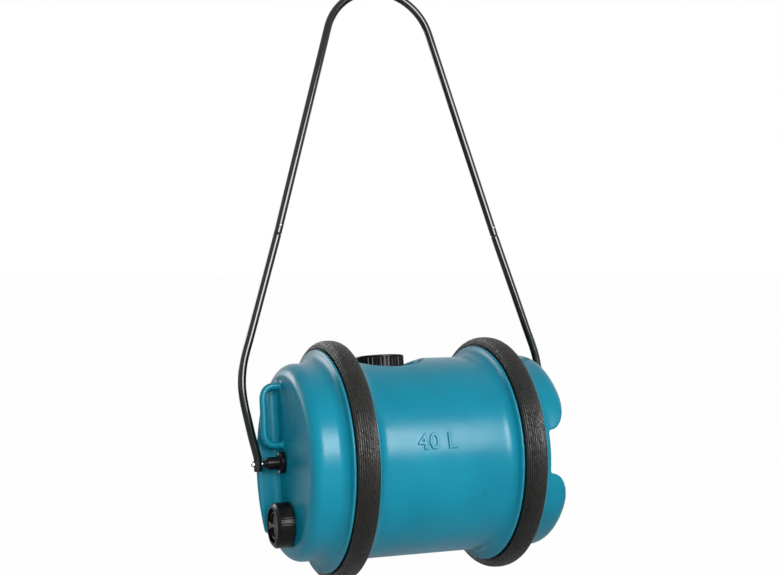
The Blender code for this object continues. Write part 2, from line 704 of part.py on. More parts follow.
def arm_path():
    """Return one arm's centre line as (x, height) pairs, from its lower end to the spigot's tip.

    The arm bows out round the drum's end, runs straight to the joint, and its spigot follows
    the loop's leg.
    """
    lean = loop_lean()
    bow = [(PIVOT_X, ARM_END_H), (PIVOT_X, 0.0080), (PIVOT_X + 0.0024, 0.0200),
           (0.2679, 0.0461), (0.2735, 0.0738), (0.2784, 0.0984), (0.2811, 0.1189),
           (0.2817, 0.1363), (0.2805, 0.1527), (0.2776, 0.1702), (0.2730, 0.1876)]
    rise = JOINT_H - 0.2101
    straight = [(JOINT_X + math.tan(ARM_LEAN) * rise, 0.2101)]
    shoulder = (JOINT_X + math.sin(lean) * GAP, JOINT_H - math.cos(lean) * GAP)
    neck = (JOINT_X, JOINT_H)
    tip = (JOINT_X - math.sin(lean) * SPIGOT_L, JOINT_H + math.cos(lean) * SPIGOT_L)
    return bow + straight + [shoulder, neck, tip], lean


def build_arm(side_name, side):
    """Make one lower arm: a bowed tube whose top is drawn down to a spigot."""
    path, lean = arm_path()
    points = [(side * x, 0.0, h) for x, h in path]
    radii = [1.0] * (len(points) - 2) + [SPIGOT_R / TUBE_R] * 2
    arm = tube(side_name + "_lower_arm", points, TUBE_R, 12, PARTS, TUBE_STEEL, radii)
    under(arm, handle_axis)
    first = points[0]
    last = points[-1]
    core_points = [(first[0], 0.0, first[2] - 0.004)] + points[1:-3]
    core_points += [points[-3], (last[0] - side * math.sin(lean) * 0.004, 0.0,
                                 last[2] + math.cos(lean) * 0.004)]
    core = tube(side_name + "_arm_bore", core_points, SPIGOT_BORE_R, 12, CUTTERS, spin=0.13)
    boolean(arm, under(core, handle_axis), 'DIFFERENCE')
    hole = cylinder(side_name + "_pin_hole", PIN_R + GAP, 0.0400, (side * PIVOT_X, 0.0, 0.0), 'X', 16,
                    CUTTERS)
    boolean(arm, under(hole, handle_axis), 'DIFFERENCE')
    return arm


def build_pivot(side_name, side):
    """Make one pivot pin, with its head inside the hub, and the domed nut on its outer end."""
    base = HUB_BASE_X
    tip = PIVOT_X + TUBE_R + 0.0030
    profile = [(base + 0.0006, 0.0), (base + 0.0006, 0.0062), (base + 0.0030, 0.0062),
               (base + 0.0030, PIN_R), (tip - 0.0005, PIN_R), (tip, PIN_R - 0.0005), (tip, 0.0)]
    points = [(side * x, r) for x, r in profile]
    under(turned_x(side_name + "_pin", points, 16, PARTS, BRIGHT_STEEL), handle_axis)

    low = PIVOT_X + TUBE_R + GAP
    dome = [(low, 0.0), (low, 0.0048), (low + 0.0026, 0.0048), (low + 0.0036, 0.0040),
            (low + 0.0046, 0.0026), (low + 0.0050, 0.0)]
    points = [(side * x, r) for x, r in dome]
    nut = under(turned_x(side_name + "_pin_nut", points, 6, PARTS, BRIGHT_STEEL), handle_axis)
    hole = cylinder(side_name + "_nut_hole", PIN_R + GAP, 0.0100,
                    (side * (tip + GAP - 0.0050), 0.0, 0.0), 'X', 16, CUTTERS)
    boolean(nut, under(hole, handle_axis), 'DIFFERENCE')


def build_loop():
    """Make the upper loop: two straight legs that close in a round top, bored right through."""
    lean = loop_lean()
    foot = (JOINT_X, JOINT_H)
    bend = math.degrees(lean)
    top = arc(0.0, LOOP_H, LOOP_R, LOOP_R, bend, 180.0 - bend, 16)
    right = [foot]
    start = top[0]
    for t in (0.5,):
        right.append((foot[0] + (start[0] - foot[0]) * t, foot[1] + (start[1] - foot[1]) * t))
    left = [(-x, h) for x, h in reversed(right)]
    path = right + top + left
    points = [(x, 0.0, h) for x, h in path]
    loop = tube("upper_loop", points, TUBE_R, 12, PARTS, TUBE_STEEL)
    under(loop, handle_axis)
    down = 0.004
    ends = []
    for x_sign in (1, -1):
        ends.append((x_sign * (foot[0] + math.sin(lean) * down), 0.0, foot[1] - math.cos(lean) * down))
    core = tube("loop_bore", [ends[0]] + points[1:-1] + [ends[1]], TUBE_BORE_R, 12, CUTTERS, spin=0.13)
    boolean(loop, under(core, handle_axis), 'DIFFERENCE')
    return loop, lean


def build_button(side_name, side, loop, arm, lean):
    """Make one snap button and its leaf spring, on the near face of the tube above the joint."""
    centre = (side * (JOINT_X - math.sin(lean) * BUTTON_ABOVE_JOINT), 0.0,
              JOINT_H + math.cos(lean) * BUTTON_ABOVE_JOINT)
    seat = empty(side_name + "_button_axis", centre, (0.0, -side * lean, 0.0))
    seat.parent = handle_axis
    for target, tag in ((loop, "_loop_hole"), (arm, "_spigot_hole")):
        hole = cylinder(side_name + tag, BUTTON_R + GAP, 0.0120, (0.0, -0.0060, 0.0), 'Y', 14, CUTTERS)
        hole.parent = seat
        boolean(target, hole, 'DIFFERENCE')
    profile = [(0.0, 0.0087), (0.0011, 0.0085), (0.0019, 0.0079), (BUTTON_R, 0.0070),
               (BUTTON_R, 0.0034), (0.0, 0.0034)]
    button = turned_z(side_name + "_snap_button", profile, 14, PARTS, BRIGHT_STEEL, closed=False)
    button.rotation_euler = (math.pi / 2, 0.0, 0.0)
    button.parent = seat

    leaf = bpy.data.curves.new(side_name + "_leaf", 'CURVE')
    leaf.dimensions = '3D'
    leaf.extrude = 0.0016
    spline = leaf.splines.new('POLY')
    line = [(-0.0027, 0.0040), (-0.0028, 0.0), (-0.0026, -0.0120), (-0.0014, -0.0175),
            (0.0004, -0.0185), (0.0020, -0.0170), (0.0029, -0.0120), (0.0031, 0.0030)]
    spline.points.add(len(line) - 1)
    for i, (y, z) in enumerate(line):
        spline.points[i].co = (z, y, 0.0, 1.0)
    guide = bpy.data.objects.new(side_name + "_leaf_guide", leaf)
    bpy.context.scene.collection.objects.link(guide)
    spring = baked(guide, side_name + "_button_spring", (0.0, 0.0, 0.0), BRIGHT_STEEL)
    solid = spring.modifiers.new("leaf_thickness", 'SOLIDIFY')
    solid.thickness = 0.00035
    solid.offset = 0.0
    solid.use_even_offset = True
    spring.rotation_euler = (0.0, -math.pi / 2, 0.0)
    spring.parent = seat


build_drum()
build_tyres()
build_filler_cap()
build_outlet_cap()
build_hub("left", -1)
build_hub("right", 1)
left_arm = build_arm("left", -1)
right_arm = build_arm("right", 1)
build_pivot("left", -1)
build_pivot("right", 1)
upper_loop, loop_lean = build_loop()
build_button("left", -1, upper_loop, left_arm, loop_lean)
build_button("right", 1, upper_loop, right_arm, loop_lean)
for part in PARTS.objects:
    if part.type == 'MESH' and not part.modifiers:
        part.data.set_sharp_from_angle(angle=math.radians(35.0))
bpy.context.view_layer.update()
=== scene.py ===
"""Looks of the rolling water container: a moulded drum on two tyres in a tall tube handle.

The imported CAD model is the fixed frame. Each sub-assembly below models its pieces in the frame's
own metres and puts them on the CAD body that carries them.
"""

import logging
import math
from collections.abc import Callable, Sequence
from dataclasses import dataclass, field
from enum import Enum

import bmesh
import bpy
from mathutils import Matrix, Vector, kdtree


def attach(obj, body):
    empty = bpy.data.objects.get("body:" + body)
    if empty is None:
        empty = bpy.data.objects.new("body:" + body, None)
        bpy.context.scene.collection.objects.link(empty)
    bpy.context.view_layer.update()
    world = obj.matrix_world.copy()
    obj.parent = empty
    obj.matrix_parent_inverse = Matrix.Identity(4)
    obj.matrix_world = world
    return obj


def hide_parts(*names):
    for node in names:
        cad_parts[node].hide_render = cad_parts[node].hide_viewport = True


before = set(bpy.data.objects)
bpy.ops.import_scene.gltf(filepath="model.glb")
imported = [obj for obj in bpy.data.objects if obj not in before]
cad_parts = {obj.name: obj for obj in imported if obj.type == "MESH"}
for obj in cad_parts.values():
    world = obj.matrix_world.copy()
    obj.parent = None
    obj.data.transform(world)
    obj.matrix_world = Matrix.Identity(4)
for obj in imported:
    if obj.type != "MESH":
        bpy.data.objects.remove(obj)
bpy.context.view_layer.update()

logging.basicConfig(level=logging.INFO, format="%(message)s")
LOG = logging.getLogger("water_container")

Point = tuple[float, float]
Point3 = tuple[float, float, float]

AXIS_Z = 0.2050
DRUM_ROLL = math.radians(-8.5)
HANDLE_LEAN = math.radians(-8.0)
LEFT_TYRE_X = -0.13145
RIGHT_TYRE_X = 0.16625


class Axis(Enum):
    """An axis that an outline is spun about."""

    X = (1.0, 0.0, 0.0)
    Z = (0.0, 0.0, 1.0)


class Side(Enum):
    """An end of the drum, as the sign of its x."""

    LEFT = -1
    RIGHT = 1

    @property
    def word(self) -> str:
        """The side's name in piece names."""
        return self.name.lower()


class Slot(Enum):
    """Names of the material slots, which each new piece keeps as a label."""

    DRUM = "drum_plastic"
    TYRE = "tyre_rubber"
    BLACK = "black_plastic"
    TUBE = "tube_steel"
    BRIGHT = "bright_steel"


# Placement

def drum_place() -> Matrix:
    """Return the matrix from the drum's own frame to the row frame."""
    return Matrix.Translation((0.0, 0.0, AXIS_Z)) @ Matrix.Rotation(DRUM_ROLL, 4, "X")


def handle_place() -> Matrix:
    """Return the matrix from the handle's own frame to the row frame."""
    return Matrix.Translation((0.0, 0.0, AXIS_Z)) @ Matrix.Rotation(HANDLE_LEAN, 4, "X")


# Modelling helpers

def choose(obj: bpy.types.Object) -> None:
    """Select one object alone and make it active.

    Args:
        obj: The object.
    """
    bpy.ops.object.select_all(action="DESELECT")
    obj.select_set(True)
    bpy.context.view_layer.objects.active = obj


def edit(obj: bpy.types.Object, *steps: Callable[[], object]) -> None:
    """Run steps in edit mode on one object, with all of it selected at first.

    Args:
        obj: The mesh object to shape.
        steps: Calls of mesh operators, in order.
    """
    choose(obj)
    bpy.ops.object.mode_set(mode="EDIT")
    bpy.ops.mesh.select_all(action="SELECT")
    for step in steps:
        step()
    bpy.ops.object.mode_set(mode="OBJECT")


def apply_modifier(obj: bpy.types.Object, kind: str, **settings: object) -> None:
    """Add a modifier with its settings and apply it.

    Args:
        obj: The object that the modifier shapes.
        kind: The modifier's type.
        settings: Its attributes.
    """
    choose(obj)
    modifier = obj.modifiers.new(kind.lower(), kind)
    for name, value in settings.items():
        setattr(modifier, name, value)
    bpy.ops.object.modifier_apply(modifier=modifier.name)


def clean(obj: bpy.types.Object, merge: float = 0.000002) -> None:
    """Merge doubled points, drop loose edges and turn the faces outwards.

    Args:
        obj: The mesh object.
        merge: The distance within which points become one.
    """
    edit(
        obj,
        lambda: bpy.ops.mesh.remove_doubles(threshold=merge),
        lambda: bpy.ops.mesh.delete_loose(use_verts=True, use_edges=True, use_faces=False),
        lambda: bpy.ops.mesh.select_all(action="SELECT"),
        lambda: bpy.ops.mesh.normals_make_consistent(inside=False),
    )


def smooth_by_angle(obj: bpy.types.Object, degrees: float = 32.0) -> None:
    """Shade smooth, with an edge kept sharp where the faces turn by more than an angle."""
    choose(obj)
    bpy.ops.object.shade_smooth_by_angle(angle=math.radians(degrees))


def circle_of(name: str, points: Sequence[Point3], fill: str = "NOTHING") -> bpy.types.Object:
    """Add a circle with one vertex for each point and move its vertices to the points.

    Args:
        name: The object's name.
        points: Where its vertices go, in order.
        fill: How the circle is filled at first.

    Returns:
        The new mesh object.
    """
    bpy.ops.object.select_all(action="DESELECT")
    bpy.ops.mesh.primitive_circle_add(vertices=len(points), radius=1.0, fill_type=fill)
    obj = bpy.context.active_object
    obj.name = name
    obj.data.name = name
    for vertex, point in zip(obj.data.vertices, points):
        vertex.co = point
    return obj


def spun(name: str, outline: Sequence[Point], axis: Axis = Axis.X, steps: int = 192) -> bpy.types.Object:
    """Spin a closed outline of (along, radius) points about an axis into a closed shape.

    Args:
        name: The piece's name.
        outline: The points. An outline that touches the axis starts and ends on it.
        axis: The axis to spin about.
        steps: How many faces go round.

    Returns:
        The new mesh object.
    """
    along = (lambda a, r: (a, 0.0, r)) if axis is Axis.X else (lambda a, r: (r, 0.0, a))
    obj = circle_of(name, [along(a, r) for a, r in outline])
    edit(
        obj,
        lambda: bpy.ops.mesh.spin(steps=steps, angle=math.tau, center=(0.0, 0.0, 0.0), axis=axis.value),
    )
    clean(obj)
    smooth_by_angle(obj)
    return obj


def lofted(name: str, rings: Sequence[Sequence[Point3]]) -> bpy.types.Object:
    """Extrude a first ring from ring to ring and close both ends.

    Args:
        name: The piece's name.
        rings: Rings of the same number of points.

    Returns:
        The new mesh object.
    """
    count = len(rings[0])
    obj = circle_of(name, rings[0])
    for _ in rings[1:]:
        edit(obj, lambda: select_last(obj, count), lambda: bpy.ops.mesh.extrude_edges_move())
    for ring_index, ring in enumerate(rings):
        for point_index, point in enumerate(ring):
            obj.data.vertices[ring_index * count + point_index].co = point
    for first in (0, (len(rings) - 1) * count):
        edit(
            obj,
            lambda: select_range(obj, first, first + count),
            lambda: bpy.ops.mesh.edge_face_add(),
        )
    clean(obj, 0.0000005)
    smooth_by_angle(obj)
    return obj


def ribbed_ring(radius: float, z: float, depth: float, ribs: int, shape: Sequence[float]) -> list[Point3]:
    """Return one ring of a cap's side, in which each rib repeats a shape.

    Args:
        radius: The ring's outer radius.
        z: Its height.
        depth: How deep the furrows between the ribs are.
        ribs: How many ribs go round.
        shape: The share of the depth at each point of one rib.

    Returns:
        The points.
    """
    count = ribs * len(shape)
    points = []
    for i in range(count):
        a = math.tau * i / count
        r = radius - depth * shape[i % len(shape)]
        points.append((r * math.cos(a), r * math.sin(a), z))
    return points


def select_range(obj: bpy.types.Object, start: int, stop: int) -> None:
    """Select the vertices from one index up to another in edit mode.

    Args:
        obj: The mesh object in edit mode.
        start: The first index.
        stop: The index after the last.
    """
    shell = bmesh.from_edit_mesh(obj.data)
    shell.verts.ensure_lookup_table()
    for vertex in shell.verts:
        vertex.select = start <= vertex.index < stop
    shell.select_flush_mode()
    bmesh.update_edit_mesh(obj.data)


def select_last(obj: bpy.types.Object, count: int) -> None:
    """Select the last vertices of a mesh in edit mode."""
    total = len(bmesh.from_edit_mesh(obj.data).verts)
    select_range(obj, total - count, total)


def combine(obj: bpy.types.Object, other: bpy.types.Object, operation: str) -> bpy.types.Object:
    """Cut or join another object with a Boolean modifier, and remove that object.

    Args:
        obj: The object that is changed.
        other: The cutter or the addition.
        operation: UNION, DIFFERENCE or INTERSECT.

    Returns:
        The changed object.
    """
    apply_modifier(obj, "BOOLEAN", operation=operation, object=other, solver="EXACT")
    bpy.data.objects.remove(other, do_unlink=True)
    return obj


def soften(obj: bpy.types.Object, voxel: float, rounds: int) -> None:
    """Remesh a solid and smooth it, which rounds its creases as blow moulding does.

    Args:
        obj: The solid.
        voxel: The remesh grid in metres.
        rounds: How many smoothing passes follow.
    """
    apply_modifier(obj, "REMESH", mode="VOXEL", voxel_size=voxel, use_smooth_shade=True)
    apply_modifier(obj, "SMOOTH", factor=0.5, iterations=rounds)


def cut_flat(obj: bpy.types.Object, x: float, keep: int) -> None:
    """Cut a closed mesh at a plane across X and close the cut.

    Args:
        obj: The mesh object.
        x: Where the plane lies.
        keep: 1 keeps what lies above x, and -1 what lies below.
    """
    edit(
        obj,
        lambda: bpy.ops.mesh.bisect(
            plane_co=(x, 0.0, 0.0), plane_no=(1.0, 0.0, 0.0), use_fill=True, clear_inner=keep > 0, clear_outer=keep < 0
        ),
    )


def arc(centre: Point, radius: float | Point, start: float, end: float, steps: int) -> list[Point]:
    """Return points of a round or elliptic arc, angles in degrees.

    Args:
        centre: The arc's centre.
        radius: One radius, or one for each direction.
        start: The first angle.
        end: The last angle.
        steps: How many pieces the arc has.

    Returns:
        The points, both ends with them.
    """
    radius_x, radius_y = (radius, radius) if isinstance(radius, float) else radius
    turns = [math.radians(start + (end - start) * i / steps) for i in range(steps + 1)]
    return [(centre[0] + radius_x * math.cos(a), centre[1] + radius_y * math.sin(a)) for a in turns]


def round_rod(name: str, radius: float, start: float, end: float, axis: Axis, steps: int = 96) -> bpy.types.Object:
    """Return a plain round solid about an axis, used to cut or to join."""
    return spun(name, [(start, 0.0), (start, radius), (end, radius), (end, 0.0)], axis, steps)


def move(obj: bpy.types.Object, place: Matrix) -> bpy.types.Object:
    """Move an object's mesh by a matrix, so that the object itself stays at the origin.

    Args:
        obj: The mesh object.
        place: The matrix.

    Returns:
        The same object.
    """
    obj.data.transform(place)
    obj.data.update()
    return obj


def swept(
    name: str,
    points: Sequence[Point3],
    radius: float,
    radii: Sequence[float] | None = None,
    sides: int = 9,
) -> bpy.types.Object:
    """Sweep a round section along a smooth curve through points and make it a mesh.

    Args:
        name: The piece's name.
        points: The centre line.
        radius: The section's radius.
        radii: A factor of the radius at each point.
        sides: The curve's bevel resolution.

    Returns:
        The new mesh object, closed at both ends.
    """
    curve = bpy.data.curves.new(name, "CURVE")
    curve.dimensions = "3D"
    curve.bevel_depth = radius
    curve.bevel_resolution = sides
    curve.resolution_u = 4
    curve.use_fill_caps = True
    spline = curve.splines.new("BEZIER")
    spline.bezier_points.add(len(points) - 1)
    for index, (knot, point) in enumerate(zip(spline.bezier_points, points)):
        knot.co = point
        knot.handle_left_type = "AUTO"
        knot.handle_right_type = "AUTO"
        knot.radius = radii[index] if radii else 1.0
    guide = bpy.data.objects.new(name, curve)
    bpy.context.scene.collection.objects.link(guide)
    choose(guide)
    bpy.ops.object.convert(target="MESH")
    obj = bpy.context.active_object
    clean(obj)
    smooth_by_angle(obj)
    return obj


# Shader helpers

def linear(code: str) -> tuple[float, float, float, float]:
    """Turn an sRGB hex colour such as #1f8fae into linear values.

    Args:
        code: The colour, with its number sign.

    Returns:
        Red, green, blue and a full alpha.
    """
    channels = [int(code[i:i + 2], 16) / 255.0 for i in (1, 3, 5)]
    values = [c / 12.92 if c <= 0.04045 else ((c + 0.055) / 1.055) ** 2.4 for c in channels]
    return (values[0], values[1], values[2], 1.0)


def add_node(
    tree: bpy.types.NodeTree,
    kind: str,
    values: dict[str | int, object] | None = None,
    links: dict[str | int, bpy.types.NodeSocket] | None = None,
    **settings: object,
) -> bpy.types.Node:
    """Add a node with its settings, its socket values and its incoming links.

    Args:
        tree: The node tree.
        kind: The node's type.
        values: Fixed values by input name or number.
        links: Output sockets by input name or number.
        settings: Attributes of the node.

    Returns:
        The new node.
    """
    node = tree.nodes.new(kind)
    for name, value in settings.items():
        setattr(node, name, value)
    for name, value in (values or {}).items():
        node.inputs[name].default_value = value
    for name, socket in (links or {}).items():
        tree.links.new(socket, node.inputs[name])
    return node


def start_material(name: str) -> tuple[bpy.types.Material, bpy.types.NodeTree, bpy.types.Node]:
    """Start a material that has a Principled shader.

    Args:
        name: The material's name.

    Returns:
        The material, its tree and its shader.
    """
    made = bpy.data.materials.new(name)
    made.use_nodes = True
    return made, made.node_tree, made.node_tree.nodes["Principled BSDF"]


def set_shader(shader: bpy.types.Node, **values: object) -> None:
    """Set a shader's own sockets, whose names are given with underscores."""
    for name, value in values.items():
        shader.inputs[name.replace("_", " ")].default_value = value


def set_ramp(node: bpy.types.Node, *stops: tuple[float, str | float]) -> None:
    """Set a colour ramp's stops, each a position and a hex colour or a grey.

    Args:
        node: The colour ramp.
        stops: The stops from left to right.
    """
    elements = node.color_ramp.elements
    while len(elements) < len(stops):
        elements.new(1.0)
    for element, (position, colour) in zip(elements, stops):
        element.position = position
        element.color = linear(colour) if isinstance(colour, str) else (colour, colour, colour, 1.0)


def around_axis(tree: bpy.types.NodeTree) -> tuple[bpy.types.NodeSocket, bpy.types.NodeSocket, bpy.types.NodeSocket]:
    """Add the nodes that measure a point from the drum's axis.

    Args:
        tree: The node tree.

    Returns:
        Sockets for the point's x, its radius from the axis and its angle about it.
    """
    place = add_node(tree, "ShaderNodeTexCoord")
    centred = add_node(
        tree, "ShaderNodeVectorMath", {1: (0.0, 0.0, AXIS_Z)}, {0: place.outputs["Object"]}, operation="SUBTRACT"
    )
    parts = add_node(tree, "ShaderNodeSeparateXYZ", links={0: centred.outputs[0]})
    flat = add_node(tree, "ShaderNodeCombineXYZ", links={"Y": parts.outputs["Y"], "Z": parts.outputs["Z"]})
    radius = add_node(tree, "ShaderNodeVectorMath", links={0: flat.outputs[0]}, operation="LENGTH")
    angle = add_node(
        tree, "ShaderNodeMath", links={0: parts.outputs["Y"], 1: parts.outputs["Z"]}, operation="ARCTAN2"
    )
    return parts.outputs["X"], radius.outputs["Value"], angle.outputs[0]


# Finishes

@dataclass(frozen=True)
class MouldedPolyethylene:
    """Blow-moulded high-density polyethylene, dyed teal: satin, faintly wavy, dusty where it rubs."""

    body: str = "#047b92"
    deep: str = "#03738a"
    dusty: str = "#3f8f9c"
    roughness: float = 0.29
    wave_m: float = 0.045
    peel_m: float = 0.0035

    def build(self) -> bpy.types.Material:
        """Build the finish.

        Returns:
            The material.
        """
        made, tree, shader = start_material("moulded_polyethylene_teal")
        place = add_node(tree, "ShaderNodeTexCoord").outputs["Object"]
        # The dye is a little uneven over a hand's width.
        cloud = add_node(tree, "ShaderNodeTexNoise", {"Scale": 9.0, "Detail": 3.0}, {"Vector": place})
        tint = add_node(tree, "ShaderNodeValToRGB", links={0: cloud.outputs["Fac"]})
        set_ramp(tint, (0.35, self.deep), (0.65, self.body))
        # Dust and fine scuffs lie on the lips that run beside the tyres.
        _, radius, _ = around_axis(tree)
        lips = add_node(
            tree, "ShaderNodeMapRange", {"From Min": 0.1800, "From Max": 0.1900}, {"Value": radius}
        )
        grit = add_node(tree, "ShaderNodeTexNoise", {"Scale": 160.0, "Detail": 5.0}, {"Vector": place})
        scuff = add_node(
            tree, "ShaderNodeMath", links={0: lips.outputs[0], 1: grit.outputs["Fac"]}, operation="MULTIPLY"
        )
        weak = add_node(tree, "ShaderNodeMath", {1: 0.55}, {0: scuff.outputs[0]}, operation="MULTIPLY")
        worn = add_node(
            tree,
            "ShaderNodeMixRGB",
            {"Color2": linear(self.dusty)},
            {"Fac": weak.outputs[0], "Color1": tint.outputs["Color"]},
        )
        tree.links.new(worn.outputs["Color"], shader.inputs["Base Color"])
        # Roughness changes by a few hundredths from spot to spot.
        smear = add_node(tree, "ShaderNodeTexNoise", {"Scale": 34.0, "Detail": 4.0}, {"Vector": place})
        rough = add_node(
            tree,
            "ShaderNodeMapRange",
            {"To Min": self.roughness - 0.05, "To Max": self.roughness + 0.06},
            {"Value": smear.outputs["Fac"]},
        )
        tree.links.new(rough.outputs[0], shader.inputs["Roughness"])
        # The wall is slightly wavy, and its skin has the fine pebble of a blown wall,
        # drawn about three times as coarse as the real one so that it shows.
        wave = add_node(tree, "ShaderNodeTexNoise", {"Scale": 1.0 / self.wave_m, "Detail": 1.0}, {"Vector": place})
        peel = add_node(tree, "ShaderNodeTexNoise", {"Scale": 1.0 / self.peel_m, "Detail": 2.0}, {"Vector": place})
        slow = add_node(
            tree, "ShaderNodeBump", {"Strength": 0.6, "Distance": 0.0012}, {"Height": wave.outputs["Fac"]}
        )
        fine = add_node(
            tree,
            "ShaderNodeBump",
            {"Strength": 0.5, "Distance": 0.00006},
            {"Height": peel.outputs["Fac"], "Normal": slow.outputs[0]},
        )
        tree.links.new(fine.outputs[0], shader.inputs["Normal"])
        # Unpolished polyethylene scatters most of its gloss, so about a third of it is left.
        set_shader(shader, IOR=1.54, Specular_IOR_Level=0.17)
        return made


@dataclass(frozen=True)
class TyreRubber:
    """Vulcanised rubber, ribbed round: olive-black crests, painted shade that darkens the grooves, glints in short
    strokes.
    """

    crest: str = "#11100d"
    dusty: str = "#1d1c17"
    painted_groove_shade: str = "#0b0b09"
    roughness: float = 0.40
    stroke_m: float = 0.0090
    stroke_width_m: float = 0.0016

    def build(self) -> bpy.types.Material:
        """Build the finish.

        Returns:
            The material.
        """
        made, tree, shader = start_material("vulcanised_rubber")
        place = add_node(tree, "ShaderNodeTexCoord").outputs["Object"]
        dirt = add_node(tree, "ShaderNodeTexNoise", {"Scale": 55.0, "Detail": 6.0, "Roughness": 0.7}, {"Vector": place})
        tint = add_node(tree, "ShaderNodeValToRGB", links={0: dirt.outputs["Fac"]})
        set_ramp(tint, (0.42, self.crest), (0.74, self.dusty))
        # Painted shade: the grooves between the ribs are coloured darker by their depth, since light hardly reaches
        # them.
        depth = add_node(tree, "ShaderNodeAttribute", attribute_name="groove_depth")
        sunk = add_node(
            tree,
            "ShaderNodeMapRange",
            {"From Min": 0.25, "From Max": 0.85},
            {"Value": depth.outputs["Fac"]},
            interpolation_type="SMOOTHSTEP",
        )
        # The darker groove colour mixed in here is painted shade, not the rubber's own colour.
        shade = add_node(
            tree,
            "ShaderNodeMixRGB",
            {"Color2": linear(self.painted_groove_shade)},
            {"Fac": sunk.outputs[0], "Color1": tint.outputs["Color"]},
        )
        tree.links.new(shade.outputs["Color"], shader.inputs["Base Color"])
        # The ribs were drawn through a die that left short slanted strokes, about 9 mm long.
        along, _, angle = around_axis(tree)
        run = add_node(
            tree, "ShaderNodeMath", {1: AXIS_Z / self.stroke_m}, {0: angle}, operation="MULTIPLY"
        )
        across = add_node(tree, "ShaderNodeMath", {1: 1.0 / self.stroke_width_m}, {0: along}, operation="MULTIPLY")
        leaned = add_node(
            tree, "ShaderNodeMath", {1: 1.1}, {0: run.outputs[0], 2: across.outputs[0]}, operation="MULTIPLY_ADD"
        )
        flow = add_node(tree, "ShaderNodeCombineXYZ", links={"X": run.outputs[0], "Y": leaned.outputs[0]})
        strokes = add_node(tree, "ShaderNodeTexNoise", {"Scale": 1.0, "Detail": 2.0}, {"Vector": flow.outputs[0]})
        rough = add_node(
            tree,
            "ShaderNodeMapRange",
            {"From Min": 0.30, "From Max": 0.70, "To Min": self.roughness - 0.22, "To Max": self.roughness + 0.24},
            {"Value": strokes.outputs["Fac"]},
        )
        tree.links.new(rough.outputs[0], shader.inputs["Roughness"])
        nicks = add_node(
            tree, "ShaderNodeBump", {"Strength": 1.0, "Distance": 0.0012}, {"Height": strokes.outputs["Fac"]}
        )
        grain = add_node(tree, "ShaderNodeTexNoise", {"Scale": 620.0, "Detail": 3.0}, {"Vector": place})
        skin = add_node(
            tree,
            "ShaderNodeBump",
            {"Strength": 0.4, "Distance": 0.00012},
            {"Height": grain.outputs["Fac"], "Normal": nicks.outputs[0]},
        )
        tree.links.new(skin.outputs[0], shader.inputs["Normal"])
        set_shader(shader, IOR=1.52, Specular_IOR_Level=0.30)
        return made


@dataclass(frozen=True)
class InjectionPlastic:
    """Injection-moulded black polypropylene: fine spark-eroded skin, handled shiny in places."""

    name: str = "injection_polypropylene_black"
    black: str = "#0d0e0f"
    worn: str = "#151617"
    roughness: float = 0.22

    def build(self) -> bpy.types.Material:
        """Build the finish.

        Returns:
            The material.
        """
        made, tree, shader = start_material(self.name)
        place = add_node(tree, "ShaderNodeTexCoord").outputs["Object"]
        cloud = add_node(tree, "ShaderNodeTexNoise", {"Scale": 70.0, "Detail": 5.0}, {"Vector": place})
        tint = add_node(tree, "ShaderNodeValToRGB", links={0: cloud.outputs["Fac"]})
        set_ramp(tint, (0.40, self.black), (0.75, self.worn))
        tree.links.new(tint.outputs["Color"], shader.inputs["Base Color"])
        rough = add_node(
            tree,
            "ShaderNodeMapRange",
            {"To Min": self.roughness - 0.08, "To Max": self.roughness + 0.10},
            {"Value": cloud.outputs["Fac"]},
        )
        tree.links.new(rough.outputs[0], shader.inputs["Roughness"])
        grain = add_node(tree, "ShaderNodeTexNoise", {"Scale": 900.0, "Detail": 2.0}, {"Vector": place})
        skin = add_node(
            tree, "ShaderNodeBump", {"Strength": 0.35, "Distance": 0.00008}, {"Height": grain.outputs["Fac"]}
        )
        tree.links.new(skin.outputs[0], shader.inputs["Normal"])
        set_shader(shader, IOR=1.49, Specular_IOR_Level=0.11)
        return made


@dataclass(frozen=True)
class EnamelledTube:
    """Steel tube in dark green-black stove enamel: a hard gloss that shows the soft box as a stripe."""

    enamel: str = "#070d0b"
    thin: str = "#0f1614"
    roughness: float = 0.08

    def build(self) -> bpy.types.Material:
        """Build the finish.

        Returns:
            The material.
        """
        made, tree, shader = start_material("stove_enamelled_steel")
        place = add_node(tree, "ShaderNodeTexCoord").outputs["Object"]
        cloud = add_node(tree, "ShaderNodeTexNoise", {"Scale": 45.0, "Detail": 5.0}, {"Vector": place})
        tint = add_node(tree, "ShaderNodeValToRGB", links={0: cloud.outputs["Fac"]})
        set_ramp(tint, (0.40, self.enamel), (0.75, self.thin))
        tree.links.new(tint.outputs["Color"], shader.inputs["Base Color"])
        rough = add_node(
            tree,
            "ShaderNodeMapRange",
            {"To Min": self.roughness - 0.05, "To Max": self.roughness + 0.10},
            {"Value": cloud.outputs["Fac"]},
        )
        tree.links.new(rough.outputs[0], shader.inputs["Roughness"])
        peel = add_node(tree, "ShaderNodeTexNoise", {"Scale": 260.0, "Detail": 2.0}, {"Vector": place})
        skin = add_node(
            tree, "ShaderNodeBump", {"Strength": 0.30, "Distance": 0.00006}, {"Height": peel.outputs["Fac"]}
        )
        tree.links.new(skin.outputs[0], shader.inputs["Normal"])
        # The clear top of the enamel keeps a faint sharp stripe over the softer gloss below it.
        set_shader(shader, IOR=1.46, Specular_IOR_Level=0.35, Coat_Weight=0.2, Coat_Roughness=0.03)
        return made


